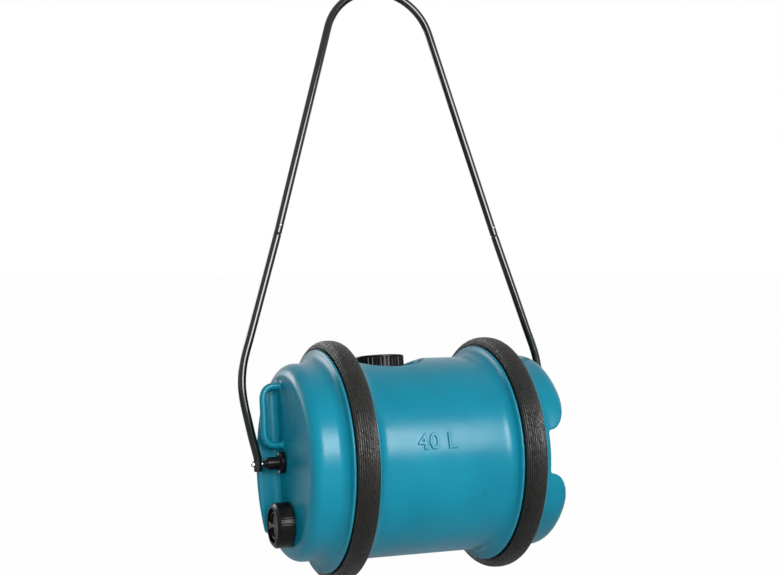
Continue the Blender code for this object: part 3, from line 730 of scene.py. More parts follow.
@dataclass(frozen=True)
class PlatedSteel:
    """Zinc-plated steel: bright, with the soft blotches of plating and fine turning marks."""

    name: str = "zinc_plated_steel"
    bright: str = "#d3d6d8"
    dull: str = "#a3a8ab"
    roughness: float = 0.26

    def build(self) -> bpy.types.Material:
        """Build the finish.

        Returns:
            The material.
        """
        made, tree, shader = start_material(self.name)
        place = add_node(tree, "ShaderNodeTexCoord").outputs["Object"]
        cloud = add_node(tree, "ShaderNodeTexNoise", {"Scale": 420.0, "Detail": 4.0}, {"Vector": place})
        tint = add_node(tree, "ShaderNodeValToRGB", links={0: cloud.outputs["Fac"]})
        set_ramp(tint, (0.30, self.dull), (0.70, self.bright))
        tree.links.new(tint.outputs["Color"], shader.inputs["Base Color"])
        rough = add_node(
            tree,
            "ShaderNodeMapRange",
            {"To Min": self.roughness - 0.08, "To Max": self.roughness + 0.12},
            {"Value": cloud.outputs["Fac"]},
        )
        tree.links.new(rough.outputs[0], shader.inputs["Roughness"])
        marks = add_node(
            tree,
            "ShaderNodeTexWave",
            {"Scale": 700.0, "Distortion": 1.5, "Detail": 2.0},
            {"Vector": place},
            bands_direction="X",
        )
        skin = add_node(
            tree, "ShaderNodeBump", {"Strength": 0.15, "Distance": 0.00004}, {"Height": marks.outputs["Fac"]}
        )
        tree.links.new(skin.outputs[0], shader.inputs["Normal"])
        set_shader(shader, Metallic=1.0)
        return made


@dataclass(frozen=True)
class SealRubber:
    """Soft black seal rubber, matt and slightly grained."""

    black: str = "#232323"
    bloom: str = "#383836"

    def build(self) -> bpy.types.Material:
        """Build the finish.

        Returns:
            The material.
        """
        made, tree, shader = start_material("seal_rubber_matt")
        place = add_node(tree, "ShaderNodeTexCoord").outputs["Object"]
        cloud = add_node(tree, "ShaderNodeTexNoise", {"Scale": 140.0, "Detail": 4.0}, {"Vector": place})
        tint = add_node(tree, "ShaderNodeValToRGB", links={0: cloud.outputs["Fac"]})
        set_ramp(tint, (0.35, self.black), (0.80, self.bloom))
        tree.links.new(tint.outputs["Color"], shader.inputs["Base Color"])
        skin = add_node(
            tree, "ShaderNodeBump", {"Strength": 0.3, "Distance": 0.0001}, {"Height": cloud.outputs["Fac"]}
        )
        tree.links.new(skin.outputs[0], shader.inputs["Normal"])
        set_shader(shader, Roughness=0.78, IOR=1.50)
        return made


@dataclass(frozen=True)
class StudioFloor:
    """Seamless white paper, which the camera sees as near white with a faint shadow."""

    white: str = "#e2e2e2"
    glow: float = 0.985

    def build(self) -> bpy.types.Material:
        """Build the finish.

        Returns:
            The material.
        """
        made, tree, shader = start_material("seamless_white_paper")
        place = add_node(tree, "ShaderNodeTexCoord").outputs["Object"]
        fibre = add_node(tree, "ShaderNodeTexNoise", {"Scale": 400.0, "Detail": 3.0}, {"Vector": place})
        skin = add_node(
            tree, "ShaderNodeBump", {"Strength": 0.05, "Distance": 0.0002}, {"Height": fibre.outputs["Fac"]}
        )
        tree.links.new(skin.outputs[0], shader.inputs["Normal"])
        set_shader(shader, Base_Color=linear(self.white), Roughness=0.9, Specular_IOR_Level=0.1)
        glow = add_node(tree, "ShaderNodeEmission", {"Color": (1.0, 1.0, 1.0, 1.0), "Strength": 1.0})
        path = add_node(tree, "ShaderNodeLightPath")
        # Gloss sees less of the glow, because the object shades the paper that it mirrors.
        weaker = add_node(
            tree, "ShaderNodeMath", {1: 0.25}, {0: path.outputs["Is Glossy Ray"]}, operation="MULTIPLY"
        )
        seen = add_node(
            tree,
            "ShaderNodeMath",
            links={0: path.outputs["Is Camera Ray"], 1: weaker.outputs[0]},
            operation="MAXIMUM",
        )
        share = add_node(tree, "ShaderNodeMath", {1: self.glow}, {0: seen.outputs[0]}, operation="MULTIPLY")
        mix = add_node(
            tree,
            "ShaderNodeMixShader",
            links={0: share.outputs[0], 1: shader.outputs[0], 2: glow.outputs[0]},
        )
        tree.links.new(mix.outputs[0], tree.nodes["Material Output"].inputs["Surface"])
        return made


def dress(obj: bpy.types.Object, finish: bpy.types.Material) -> bpy.types.Object:
    """Give an object one material all over.

    Args:
        obj: The mesh object.
        finish: The material.

    Returns:
        The same object.
    """
    obj.data.materials.clear()
    obj.data.materials.append(finish)
    return obj


@dataclass
class Finishes:
    """Every material of the object, built once."""

    drum: bpy.types.Material = field(default_factory=lambda: MouldedPolyethylene().build())
    tyre: bpy.types.Material = field(default_factory=lambda: TyreRubber().build())
    black: bpy.types.Material = field(default_factory=lambda: InjectionPlastic().build())
    tube: bpy.types.Material = field(default_factory=lambda: EnamelledTube().build())
    bright: bpy.types.Material = field(default_factory=lambda: PlatedSteel().build())
    spring: bpy.types.Material = field(
        default_factory=lambda: PlatedSteel("spring_steel", "#b4b7b8", "#84898c", 0.32).build()
    )
    seal: bpy.types.Material = field(default_factory=lambda: SealRubber().build())
    bush: bpy.types.Material = field(
        default_factory=lambda: InjectionPlastic("bush_acetal_black", "#1d1d1e", "#2a2a2b", 0.45).build()
    )


@dataclass
class Piece:
    """What a finished piece rides on, which material slot it is labelled with, and which CAD nodes it stands for."""

    obj: bpy.types.Object
    body: str
    slot: Slot
    nodes: tuple[str, ...] = ()

    def join_frame(self) -> None:
        """Put the piece on its body and hide the CAD nodes that it stands for."""
        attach(self.obj, self.body)
        if self.nodes:
            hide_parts(*self.nodes)
        LOG.info("%s: %d faces on %s", self.obj.name, len(self.obj.data.polygons), self.body)


# Sub-assemblies

@dataclass
class Drum:
    """The blow-moulded drum, as three closed lengths whose joins lie under the tyres."""

    finishes: Finishes
    lip_r: float = 0.1902
    groove_r: float = 0.1845
    groove_w: float = 0.0389
    body_r: float = 0.1707
    left_r: float = 0.1671
    floor_x: float = -0.2145
    floor_round: float = 0.0225
    lobe_r: float = 0.1420
    lobe_x: float = -0.2560
    lobe_dome_r: float = 0.650
    lobe_wall_y: float = 0.0246
    lobe_round: float = 0.020
    lobe_root: float = 0.0040
    rim_turn: float = 78.0
    ridge_x: float = -0.2540
    ridge_z: float = -0.0150
    ridge_curve_r: float = 0.500
    ridge_round: float = 0.0045
    back_slope: float = 0.31
    foot_x: float = 0.2510
    foot_round: float = 0.0205
    channel_x: float = 0.2070
    channel_w: float = 0.0738
    channel_z: float = -0.0062
    channel_flare_x: float = 0.0390
    channel_flare_z: float = 0.0950
    grip_r: float = 0.0060
    grip_top_z: float = 0.1300
    grip_foot_z: float = 0.0300
    grip_reach: float = 0.0314
    grip_bend: float = 0.0190
    filler_x: float = -0.0301
    pocket_r: float = 0.0758
    pocket_z: float = 0.1517
    neck_r: float = 0.0338
    neck_bore_r: float = 0.0292
    neck_h: float = 0.0190
    outlet_y: float = -0.0200
    outlet_z: float = -0.1029
    outlet_neck_r: float = 0.0302
    outlet_bore_r: float = 0.0256
    outlet_neck_h: float = 0.0186
    hub_seat_r: float = 0.0193
    steps: int = 240
    fine_voxel: float = 0.0017
    plain_voxel: float = 0.0020

    def voxel(self, size: float) -> float:
        """Return the remesh grid, unchanged."""
        return size

    def flare(self, edge_x: float, side: int, base_r: float) -> list[Point]:
        """Return the outline from a tyre groove's edge out over the lip to the plain wall.

        Args:
            edge_x: The groove's edge.
            side: 1 towards +X and -1 towards -X.
            base_r: The plain wall's radius.

        Returns:
            Points of (x, radius).
        """
        sweep = 0.0185
        rise = self.lip_r - 0.0025 - base_r
        line = [(0.0, self.lip_r - 0.0010), (0.0004, self.lip_r - 0.0003), (0.0012, self.lip_r), (0.0026, self.lip_r)]
        line += [(0.0036, self.lip_r - 0.0005), (0.0043, self.lip_r - 0.0014)]
        for i in range(17):
            a = math.radians(90.0 * i / 16)
            line.append((0.0046 + sweep * (1.0 - math.cos(a)), base_r + rise * (1.0 - math.sin(a))))
        return [(edge_x + side * u, r) for u, r in line]

    def lobe_face(self, r: float) -> float:
        """Return the x of the raised half's outside at a radius.

        Args:
            r: The distance from the axis.

        Returns:
            The x, on the dome or on its rounded rim.
        """
        turn = math.radians(self.rim_turn)
        edge_r = self.lobe_r - self.lobe_round
        if r <= edge_r + self.lobe_round * math.cos(turn):
            return self.lobe_x + r * r / (2 * self.lobe_dome_r)
        over = min(r, self.lobe_r) - edge_r
        return self.floor_x + self.lobe_root - math.sqrt(max(self.lobe_round ** 2 - over ** 2, 0.0))

    def raised_half(self) -> bpy.types.Object:
        """Build the solid that stands proud of the left end, before its near half is cleared.

        Returns:
            The solid, round about the axis.
        """
        centre = (self.floor_x + self.lobe_root, self.lobe_r - self.lobe_round)
        rim = arc(centre, self.lobe_round, 90.0, 90.0 + self.rim_turn, 16)
        dome = [(self.lobe_face(r), r) for r in (0.118, 0.108, 0.096, 0.080, 0.060, 0.040, 0.020, 0.0)]
        sunk_x = self.floor_x + 0.0125
        return spun("raised_half", [(sunk_x, 0.0), (sunk_x, self.lobe_r), *rim, *dome], steps=self.steps)

    def ridge(self, z: float) -> float:
        """Return the outer x of the raised half's ridge, which runs beside the wall, at a height."""
        return self.ridge_x + (z - self.ridge_z) ** 2 / (2 * self.ridge_curve_r)

    def wall_cutter(self) -> bpy.types.Object:
        """Return the body that clears the near half and slopes the raised half's back.

        Returns:
            A solid lofted from slice to slice along Z: each has a fillet at the floor, a rounded
            edge along the ridge and a straight back that falls to the far rim.
        """
        rings = []
        turn = math.degrees(math.atan(self.back_slope))
        reach_z, far_y, out_x, slices = 0.176, 0.180, -0.320, 56
        for k in range(slices + 1):
            z = reach_z * (2.0 * k / slices - 1.0)
            top = max(self.lobe_face(min(abs(z), self.lobe_r)), self.ridge(z))
            height = max(self.floor_x - top, 0.003)
            inner = min(0.010, 0.50 * height)
            outer = min(self.ridge_round, 0.35 * height)
            top_x = self.floor_x - height
            root_y = self.lobe_wall_y - inner
            section = [(self.floor_x + 0.006, -0.22), (self.floor_x + 0.006, root_y - 0.006)]
            section += [(self.floor_x, root_y - 0.004)]
            section += arc((self.floor_x - inner, root_y), inner, 12.0, 90.0, 8)
            section += arc((top_x + outer, self.lobe_wall_y + outer), outer, 270.0, 180.0 - turn, 8)
            last_x, last_y = section[-1]
            section += [(last_x + self.back_slope * (far_y - last_y), far_y), (out_x, far_y), (out_x, -0.22)]
            rings.append([(x, y, z) for x, y in section])
        return lofted("near_half_cutter", rings)

    def grip(self) -> bpy.types.Object:
        """Build the moulded carry grip, whose feet flow into the floor.

        Returns:
            The D-shaped bar.
        """
        high, low, bend = self.grip_top_z, self.grip_foot_z, self.grip_bend
        bend_x = self.floor_x - self.grip_reach + bend
        line = [(self.floor_x + 0.004, high), (self.floor_x - 0.003, high)]
        line += arc((bend_x, high - bend), bend, 90.0, 180.0, 6)
        line += [(bend_x - bend, (high + low) / 2)]
        line += arc((bend_x, low + bend), bend, 180.0, 270.0, 6)
        line += [(self.floor_x - 0.003, low), (self.floor_x + 0.004, low)]
        return swept("grip_bar", [(x, 0.0, z) for x, z in line], self.grip_r + 0.0002, sides=7)

    def left_end(self) -> bpy.types.Object:
        """Build the left length: floor, raised half, grip, outlet seat and hub seat.

        Returns:
            The length, cut flat under the left tyre.
        """
        start = LEFT_TYRE_X
        outline = [(start + 0.004, 0.0), (start + 0.004, self.groove_r), (start - self.groove_w / 2, self.groove_r)]
        outline += self.flare(start - self.groove_w / 2, -1, self.left_r)
        corner = (self.floor_x + self.floor_round, self.left_r - self.floor_round)
        outline += arc(corner, self.floor_round, 90.0, 180.0, 14)
        outline += [(self.floor_x, 0.0)]
        end = spun("drum_left_end", outline, steps=self.steps)
        half = combine(self.raised_half(), self.wall_cutter(), "DIFFERENCE")
        combine(end, half, "UNION")
        seat = round_rod("hub_seat", self.hub_seat_r, self.floor_x + 0.0004, self.floor_x - 0.0400, Axis.X)
        combine(end, seat, "DIFFERENCE")
        combine(end, self.grip(), "UNION")
        outlet = Matrix.Translation((0.0, self.outlet_y, self.outlet_z))
        collar = round_rod("outlet_collar", self.outlet_neck_r, self.floor_x + 0.004, self.floor_x - 0.0012, Axis.X)
        combine(end, move(collar, outlet), "UNION")
        well = round_rod("outlet_well", self.outlet_bore_r + 0.0008, self.floor_x + 0.060, self.floor_x - 0.020, Axis.X)
        combine(end, move(well, outlet), "DIFFERENCE")
        soften(end, self.voxel(self.fine_voxel), 8)
        cut_flat(end, start, -1)
        return end

    def middle(self) -> bpy.types.Object:
        """Build the length between the tyres, with the filler's round pocket.

        Returns:
            The length, cut flat under both tyres.
        """
        left, right = LEFT_TYRE_X, RIGHT_TYRE_X
        outline = [(left - 0.004, 0.0), (left - 0.004, self.groove_r), (left + self.groove_w / 2, self.groove_r)]
        outline += self.flare(left + self.groove_w / 2, 1, self.body_r)
        outline += reversed(self.flare(right - self.groove_w / 2, -1, self.body_r))
        outline += [(right - self.groove_w / 2, self.groove_r), (right + 0.004, self.groove_r), (right + 0.004, 0.0)]
        body = spun("drum_middle", outline, steps=self.steps)
        floor = [(self.pocket_z, 0.0), (self.pocket_z, self.pocket_r - 0.008)]
        floor += [(z, r) for r, z in arc((self.pocket_r - 0.008, self.pocket_z + 0.008), 0.008, -90.0, 0.0, 8)]
        pocket = spun("filler_pocket", [*floor, (0.230, self.pocket_r), (0.230, 0.0)], Axis.Z, 160)
        combine(body, move(pocket, Matrix.Translation((self.filler_x, 0.0, 0.0))), "DIFFERENCE")
        well = round_rod("filler_well", self.neck_bore_r + 0.0008, self.pocket_z - 0.090, self.pocket_z + 0.020, Axis.Z)
        combine(body, move(well, Matrix.Translation((self.filler_x, 0.0, 0.0))), "DIFFERENCE")
        soften(body, self.voxel(self.plain_voxel), 10)
        cut_flat(body, left, 1)
        cut_flat(body, right, -1)
        return body

    def channel_cutter(self) -> bpy.types.Object:
        """Build the body that clears the right end's channel.

        Returns:
            The cutter, whose lips flare to the channel's mouth.
        """
        half = self.channel_w / 2
        corner = 0.0050
        line = [(self.foot_x + 0.02, half + self.channel_flare_z)]
        line += arc(
            (self.foot_x - self.channel_flare_x, half + self.channel_flare_z),
            (self.channel_flare_x, self.channel_flare_z), 0.0, -90.0, 24,
        )
        line += arc((self.channel_x + corner, half - corner), corner, 90.0, 180.0, 6)
        line += [(x, -z) for x, z in reversed(line)]
        near = [(x, -0.2, z + self.channel_z) for x, z in line]
        far = [(x, 0.2, z + self.channel_z) for x, z in line]
        return lofted("channel_cutter", [near, far])

    def right_end(self) -> bpy.types.Object:
        """Build the right length: two flat feet with the flared channel between them.

        Returns:
            The length, cut flat under the right tyre.
        """
        start = RIGHT_TYRE_X
        outline = [(start - 0.004, 0.0), (start - 0.004, self.groove_r), (start + self.groove_w / 2, self.groove_r)]
        outline += self.flare(start + self.groove_w / 2, 1, self.body_r)
        corner = (self.foot_x - self.foot_round, self.body_r - self.foot_round)
        outline += arc(corner, self.foot_round, 90.0, 0.0, 14)
        outline += [(self.foot_x, 0.0)]
        end = spun("drum_right_end", outline, steps=self.steps)
        combine(end, self.channel_cutter(), "DIFFERENCE")
        pad = round_rod("hub_pad", 0.0240, -self.floor_x - 0.0200, -self.floor_x, Axis.X)
        combine(end, pad, "UNION")
        soften(end, self.voxel(self.plain_voxel), 10)
        cut_flat(end, start, 1)
        return end

    def neck(self, name: str, outer: float, bore: float, height: float, sunk: float, place: Matrix) -> bpy.types.Object:
        """Return a threaded neck: a ring with rounded thread crests, sunk into the wall.

        Args:
            name: The piece's name.
            outer: The thread's outer radius.
            bore: The bore's radius.
            height: How far it stands above its seat.
            sunk: How far it reaches below its seat.
            place: Where its seat is, with +Z out of the drum.

        Returns:
            The neck.
        """
        line = [(-sunk, bore), (-sunk, outer)]
        pitch = 0.0045
        z = 0.0035
        while z + pitch < height - 0.002:
            line += [(z, outer), (z + 0.0007, outer - 0.0009), (z + 0.0022, outer - 0.0009), (z + 0.0029, outer)]
            z += pitch
        line += [(height - 0.0008, outer), (height - 0.0002, outer - 0.0003), (height, outer - 0.0009)]
        line += [(height, bore + 0.0008), (height - 0.0008, bore)]
        return move(spun(name, line, Axis.Z, 96), drum_place() @ place)

    def build(self) -> list[Piece]:
        """Build the drum.

        Returns:
            Its three lengths and its two necks.
        """
        made = []
        for length in (self.left_end(), self.middle(), self.right_end()):
            move(length, drum_place())
            dress(length, self.finishes.drum)
            made.append(Piece(length, "drum", Slot.DRUM, ("drum_shell",)))
        filler = self.neck(
            "filler_neck", self.neck_r, self.neck_bore_r, self.neck_h, 0.010,
            Matrix.Translation((self.filler_x, 0.0, self.pocket_z)),
        )
        outlet = self.neck(
            "outlet_neck", self.outlet_neck_r, self.outlet_bore_r, self.outlet_neck_h, 0.006,
            Matrix.Translation((self.floor_x, self.outlet_y, self.outlet_z)) @ Matrix.Rotation(-math.pi / 2, 4, "Y"),
        )
        for neck in (filler, outlet):
            dress(neck, self.finishes.drum)
            made.append(Piece(neck, "drum", Slot.DRUM))
        return made


@dataclass
class Tyre:
    """A rubber tyre stretched into its groove, ribbed round from flank to flank."""

    name: str
    centre_x: float
    finishes: Finishes
    outer_r: float = 0.2050
    bore_r: float = 0.1848
    flank_r: float = 0.1925
    width: float = 0.0383
    rib_pitch: float = 0.0041
    rib_depth: float = 0.0011
    steps: int = 216

    def crown(self) -> list[Point]:
        """Work out the plain section from one flank over the tread to the other.

        Returns:
            Points of (x from the tyre's middle, radius).
        """
        half = self.width / 2
        power = 2 / 2.3
        steps = 240
        points = []
        for i in range(steps + 1):
            a = math.pi * i / steps
            x = half * math.copysign(abs(math.cos(a)) ** power, math.cos(a))
            points.append((x, self.flank_r + (self.outer_r - self.flank_r) * abs(math.sin(a)) ** power))
        return points

    def section(self) -> list[tuple[float, float, float]]:
        """Work out the closed section with its ribs.

        Returns:
            Points of (x, radius, depth of the groove from 0 to 1).
        """
        plain = self.crown()
        lengths = [0.0]
        for (x0, r0), (x1, r1) in zip(plain, plain[1:]):
            lengths.append(lengths[-1] + math.hypot(x1 - x0, r1 - r0))
        count = round(lengths[-1] / self.rib_pitch)
        samples = count * 8
        points = []
        cursor = 0
        for i in range(samples + 1):
            s = lengths[-1] * i / samples
            while cursor < len(lengths) - 2 and lengths[cursor + 1] < s:
                cursor += 1
            t = (s - lengths[cursor]) / max(lengths[cursor + 1] - lengths[cursor], 1e-9)
            (x0, r0), (x1, r1) = plain[cursor], plain[cursor + 1]
            size = max(math.hypot(x1 - x0, r1 - r0), 1e-9)
            inward = (abs(r1 - r0) / size, abs(x1 - x0) / size)
            depth = (0.5 + 0.5 * math.cos(math.tau * count * s / lengths[-1])) ** 1.6
            sink = self.rib_depth * depth
            x = x0 + (x1 - x0) * t
            points.append((x - inward[0] * math.copysign(sink, x), r0 + (r1 - r0) * t - inward[1] * sink, depth))
        half, low = self.width / 2, self.bore_r
        foot = [(-half + 0.0008, low + 0.0012, 1.0), (-half + 0.0016, low, 1.0)]
        foot += [(half - 0.0016, low, 1.0), (half - 0.0008, low + 0.0012, 1.0)]
        return [(self.centre_x + x, r, depth) for x, r, depth in points + foot]

    def mark_grooves(self, tyre: bpy.types.Object, section: Sequence[tuple[float, float, float]]) -> None:
        """Keep each point's groove depth as an attribute, which the rubber's material reads to paint shade into the
        grooves.

        Args:
            tyre: The tyre's mesh object.
            section: The section that it was spun from.
        """
        tree = kdtree.KDTree(len(section))
        for index, (x, r, _) in enumerate(section):
            tree.insert((x, 0.0, r), index)
        tree.balance()
        depths = tyre.data.attributes.new("groove_depth", "FLOAT", "POINT")
        for vertex in tyre.data.vertices:
            _, index, _ = tree.find((vertex.co.x, 0.0, math.hypot(vertex.co.y, vertex.co.z)))
            depths.data[vertex.index].value = section[index][2]

    def build(self) -> list[Piece]:
        """Build the tyre.

        Returns:
            The tyre alone.
        """
        section = self.section()
        tyre = spun(self.name + "_ribbed", [(x, r) for x, r, _ in section], steps=self.steps)
        self.mark_grooves(tyre, section)
        move(tyre, Matrix.Translation((0.0, 0.0, AXIS_Z)))
        dress(tyre, self.finishes.tyre)
        return [Piece(tyre, "drum", Slot.TYRE, (self.name,))]


@dataclass
class FillerCap:
    """The screw cap of the filler, with gripping ribs down its side and a shallow dish on top."""

    finishes: Finishes
    x: float = -0.0301
    base_z: float = 0.1535
    radius: float = 0.0420
    height: float = 0.0228
    ribs: int = 32
    rib_depth: float = 0.0013
    rib_shape: tuple[float, ...] = (0.0, 0.0, 0.0, 0.20, 1.0, 0.20)
    bore_r: float = 0.0344

    def build(self) -> list[Piece]:
        """Build the cap.

        Returns:
            The cap alone.
        """
        top, wall, deep = self.height, self.radius, self.rib_depth
        rows = [
            (wall - 0.0008, 0.0, 0.0),
            (wall, 0.0010, 0.0),
            (wall, 0.0026, 0.0),
            (wall, 0.0034, deep),
            (wall, top - 0.0042, deep),
            (wall, top - 0.0034, deep * 0.4),
            (wall, top - 0.0028, 0.0),
            (wall, top - 0.0014, 0.0),
            (wall - 0.0004, top - 0.0006, 0.0),
            (wall - 0.0014, top, 0.0),
            (0.0340, top, 0.0),
            (0.0332, top - 0.0010, 0.0),
            (0.0120, top - 0.0011, 0.0),
        ]
        cap = lofted("filler_cap_ribbed", [ribbed_ring(*row, self.ribs, self.rib_shape) for row in rows])
        hollow = round_rod("filler_cap_hollow", self.bore_r, -0.010, top - 0.0035, Axis.Z)
        combine(cap, hollow, "DIFFERENCE")
        clean(cap, 0.0000005)
        smooth_by_angle(cap, 28.0)
        move(cap, drum_place() @ Matrix.Translation((self.x, 0.0, self.base_z)))
        dress(cap, self.finishes.black)
        return [Piece(cap, "filler_lid", Slot.BLACK, ("filler_cap",))]


@dataclass
class OutletCap:
    """The screw cap of the outlet: faintly fluted side, raised rim, sunk face with a turning bar."""

    finishes: Finishes
    x: float = -0.2157
    y: float = -0.0200
    z: float = -0.1029
    radius: float = 0.0381
    height: float = 0.0290
    flutes: int = 48
    flute_depth: float = 0.0003
    flute_shape: tuple[float, ...] = (0.0, 0.5, 1.0, 0.5)
    bore_r: float = 0.0308

    def bar(self) -> bpy.types.Object:
        """Build the turning bar.

        Returns:
            An extruded strip with bevelled edges and waisted sides.
        """
        half, waist, wide, thin = 0.0272, 0.010, 0.0078, 0.0030
        line = [(-wide, -half), (-thin, -waist), (-thin, waist), (-wide, half)]
        line += [(-x, -y) for x, y in line]
        low, high = self.height - 0.0064, self.height - 0.0012
        bar = lofted("outlet_bar", [[(x, y, low) for x, y in line], [(x, y, high) for x, y in line]])
        apply_modifier(bar, "BEVEL", width=0.0008, segments=3, limit_method="ANGLE")
        return bar

    def build(self) -> list[Piece]:
        """Build the cap.

        Returns:
            The cap alone.
        """
        top, wall, deep = self.height, self.radius, self.flute_depth
        rows = [
            (wall - 0.0008, 0.0, 0.0),
            (wall, 0.0009, 0.0),
            (wall, 0.0030, 0.0),
            (wall - 0.0002, 0.0038, deep),
            (wall - 0.0004, top - 0.0062, deep),
            (wall - 0.0005, top - 0.0050, 0.0),
            (wall - 0.0011, top - 0.0040, 0.0),
            (wall - 0.0022, top - 0.0030, 0.0),
            (wall - 0.0048, top - 0.0014, 0.0),
            (wall - 0.0052, top - 0.0004, 0.0),
            (wall - 0.0057, top, 0.0),
            (0.0296, top, 0.0),
            (0.0291, top - 0.0005, 0.0),
            (0.0286, top - 0.0052, 0.0),
            (0.0234, top - 0.0056, 0.0),
            (0.0229, top - 0.0036, 0.0),
            (0.0224, top - 0.0032, 0.0),
            (0.0212, top - 0.0032, 0.0),
            (0.0207, top - 0.0036, 0.0),
            (0.0202, top - 0.0056, 0.0),
            (0.0060, top - 0.0056, 0.0),
        ]
        cap = lofted("outlet_cap_fluted", [ribbed_ring(*row, self.flutes, self.flute_shape) for row in rows])
        combine(cap, self.bar(), "UNION")
        hollow = round_rod("outlet_cap_hollow", self.bore_r, -0.010, top - 0.0085, Axis.Z)
        combine(cap, hollow, "DIFFERENCE")
        clean(cap, 0.0000005)
        smooth_by_angle(cap, 28.0)
        place = Matrix.Translation((self.x, self.y, self.z)) @ Matrix.Rotation(-math.pi / 2, 4, "Y")
        move(cap, drum_place() @ place)
        dress(cap, self.finishes.black)
        return [Piece(cap, "outlet_lid", Slot.BLACK, ("outlet_cap",))]


@dataclass
class Hub:
    """One hub: flanged socket, two screws, and the pivot pin's domed nut outside the handle."""

    side: Side
    finishes: Finishes
    base_x: float = 0.2145
    flange_r: float = 0.0186
    flange_t: float = 0.0082
    body_r: float = 0.0105
    body_x: float = 0.2445
    bore_r: float = 0.0068
    nose_r: float = 0.0074
    nose_x: float = 0.2514
    screw_z: float = 0.0144
    pin_r: float = 0.0030
    pivot_x: float = 0.2594
    tube_r: float = 0.0070
    gap: float = 0.0003

    def spun_at_side(self, name: str, outline: Sequence[Point], steps: int) -> bpy.types.Object:
        """Spin an outline whose x is measured outwards from the drum's middle."""
        return spun(name, [(self.side.value * x, r) for x, r in outline], steps=steps)

    def socket(self) -> bpy.types.Object:
        """Build the flanged socket.

        Returns:
            The socket, with the round corners of a moulding.
        """
        front = self.base_x + self.flange_t
        line = [(self.base_x + self.gap, self.bore_r), (self.base_x + self.gap, self.flange_r)]
        line += arc((front - 0.0014, self.flange_r - 0.0014), 0.0014, 90.0, 0.0, 5)
        line += [(front, 0.0124)]
        line += [(front + 0.0018 - x, self.body_r + 0.0018 - y) for x, y in arc((0.0, 0.0), 0.0018, 0.0, 90.0, 5)]
        line += arc((self.body_x - 0.0010, self.body_r - 0.0010), 0.0010, 90.0, 0.0, 4)
        line += [(self.body_x, self.nose_r), (self.body_x + 0.0026, self.nose_r)]
        line += [(self.body_x + 0.0032, self.nose_r - 0.0010), (self.nose_x - 0.0006, self.nose_r - 0.0018)]
        line += [(self.nose_x, self.nose_r - 0.0024), (self.nose_x, self.pin_r + self.gap)]
        line += [(self.body_x - 0.0015, self.pin_r + self.gap), (self.body_x - 0.0015, self.bore_r)]
        return self.spun_at_side(self.side.word + "_hub_socket", line, 96)

    def screw(self, name: str, z: float) -> bpy.types.Object:
        """Return a pan-head screw with a cross recess.

        Args:
            name: The piece's name.
            z: Its height on the flange.

        Returns:
            The screw.
        """
        front = self.base_x + self.flange_t
        shank_x, seat_x, shank_r = self.base_x - 0.0070, front + self.gap, 0.0016
        line = [(shank_x, 0.0), (shank_x, shank_r), (seat_x, shank_r), (seat_x, 0.0030)]
        line += [(front + 0.0009, 0.0030), (front + 0.0015, 0.0026), (front + 0.0019, 0.0018), (front + 0.0021, 0.0)]
        screw = self.spun_at_side(name, line, 32)
        for turn in (0.5, 0.5 + math.pi / 2):
            corners = ((-0.0019, -0.0003), (0.0019, -0.0003), (0.0019, 0.0003), (-0.0019, 0.0003))
            rings = [[(self.side.value * x, y, z2) for y, z2 in corners] for x in (front + 0.0008, front + 0.0060)]
            slot = move(lofted("driver_slot", rings), Matrix.Rotation(turn, 4, "X"))
            combine(screw, slot, "DIFFERENCE")
        clean(screw, 0.0000005)
        smooth_by_angle(screw)
        return move(screw, Matrix.Translation((0.0, 0.0, z)))

    def pin(self) -> bpy.types.Object:
        """Build the pivot pin.

        Returns:
            The pin, its head inside the socket and its threaded tip outside.
        """
        tip = self.pivot_x + self.tube_r + 0.0030
        line = [(self.base_x + 0.0006, 0.0), (self.base_x + 0.0006, 0.0062), (self.base_x + 0.0030, 0.0062)]
        line += [(self.base_x + 0.0030, self.pin_r), (tip - 0.0005, self.pin_r), (tip, self.pin_r - 0.0005), (tip, 0.0)]
        return self.spun_at_side(self.side.word + "_pivot_pin", line, 48)

    def nut(self) -> bpy.types.Object:
        """Build the domed nut.

        Returns:
            A bevelled hexagon that rises to a round cap.
        """
        low = self.pivot_x + self.tube_r + self.gap
        rows = [
            (low, 0.0045, 0.0),
            (low + 0.0003, 0.0048, 0.0),
            (low + 0.0022, 0.0048, 0.0),
            (low + 0.0027, 0.0043, 0.8),
            (low + 0.0038, 0.0037, 1.0),
            (low + 0.0046, 0.0024, 1.0),
            (low + 0.0050, 0.0009, 1.0),
        ]
        rings = []
        for x, size, roundness in rows:
            ring = []
            for i in range(36):
                a = math.tau * i / 36
                flat = math.cos(math.pi / 6) / math.cos((a % (math.pi / 3)) - math.pi / 6)
                r = size * (flat + (1.0 - flat) * roundness)
                ring.append((self.side.value * x, r * math.sin(a), r * math.cos(a)))
            rings.append(ring)
        return lofted(self.side.word + "_domed_nut", rings)

    def build(self) -> list[Piece]:
        """Build the hub and what it holds.

        Returns:
            The socket, its two screws, the pin and the nut.
        """
        word = self.side.word
        socket = dress(move(self.socket(), drum_place()), self.finishes.black)
        made = [Piece(socket, "drum", Slot.BLACK, (word + "_hub",))]
        for end, z in (("top", self.screw_z), ("low", -self.screw_z)):
            screw = self.screw(f"{word}_pan_screw_{end}", z)
            dress(move(screw, drum_place()), self.finishes.bright)
            made.append(Piece(screw, "drum", Slot.BRIGHT, (f"{word}_hub_screw_{end}",)))
        for obj, node in ((self.pin(), word + "_pin"), (self.nut(), word + "_pin_nut")):
            dress(move(obj, handle_place()), self.finishes.bright)
            made.append(Piece(obj, "handle", Slot.BRIGHT, (node,)))
        return made


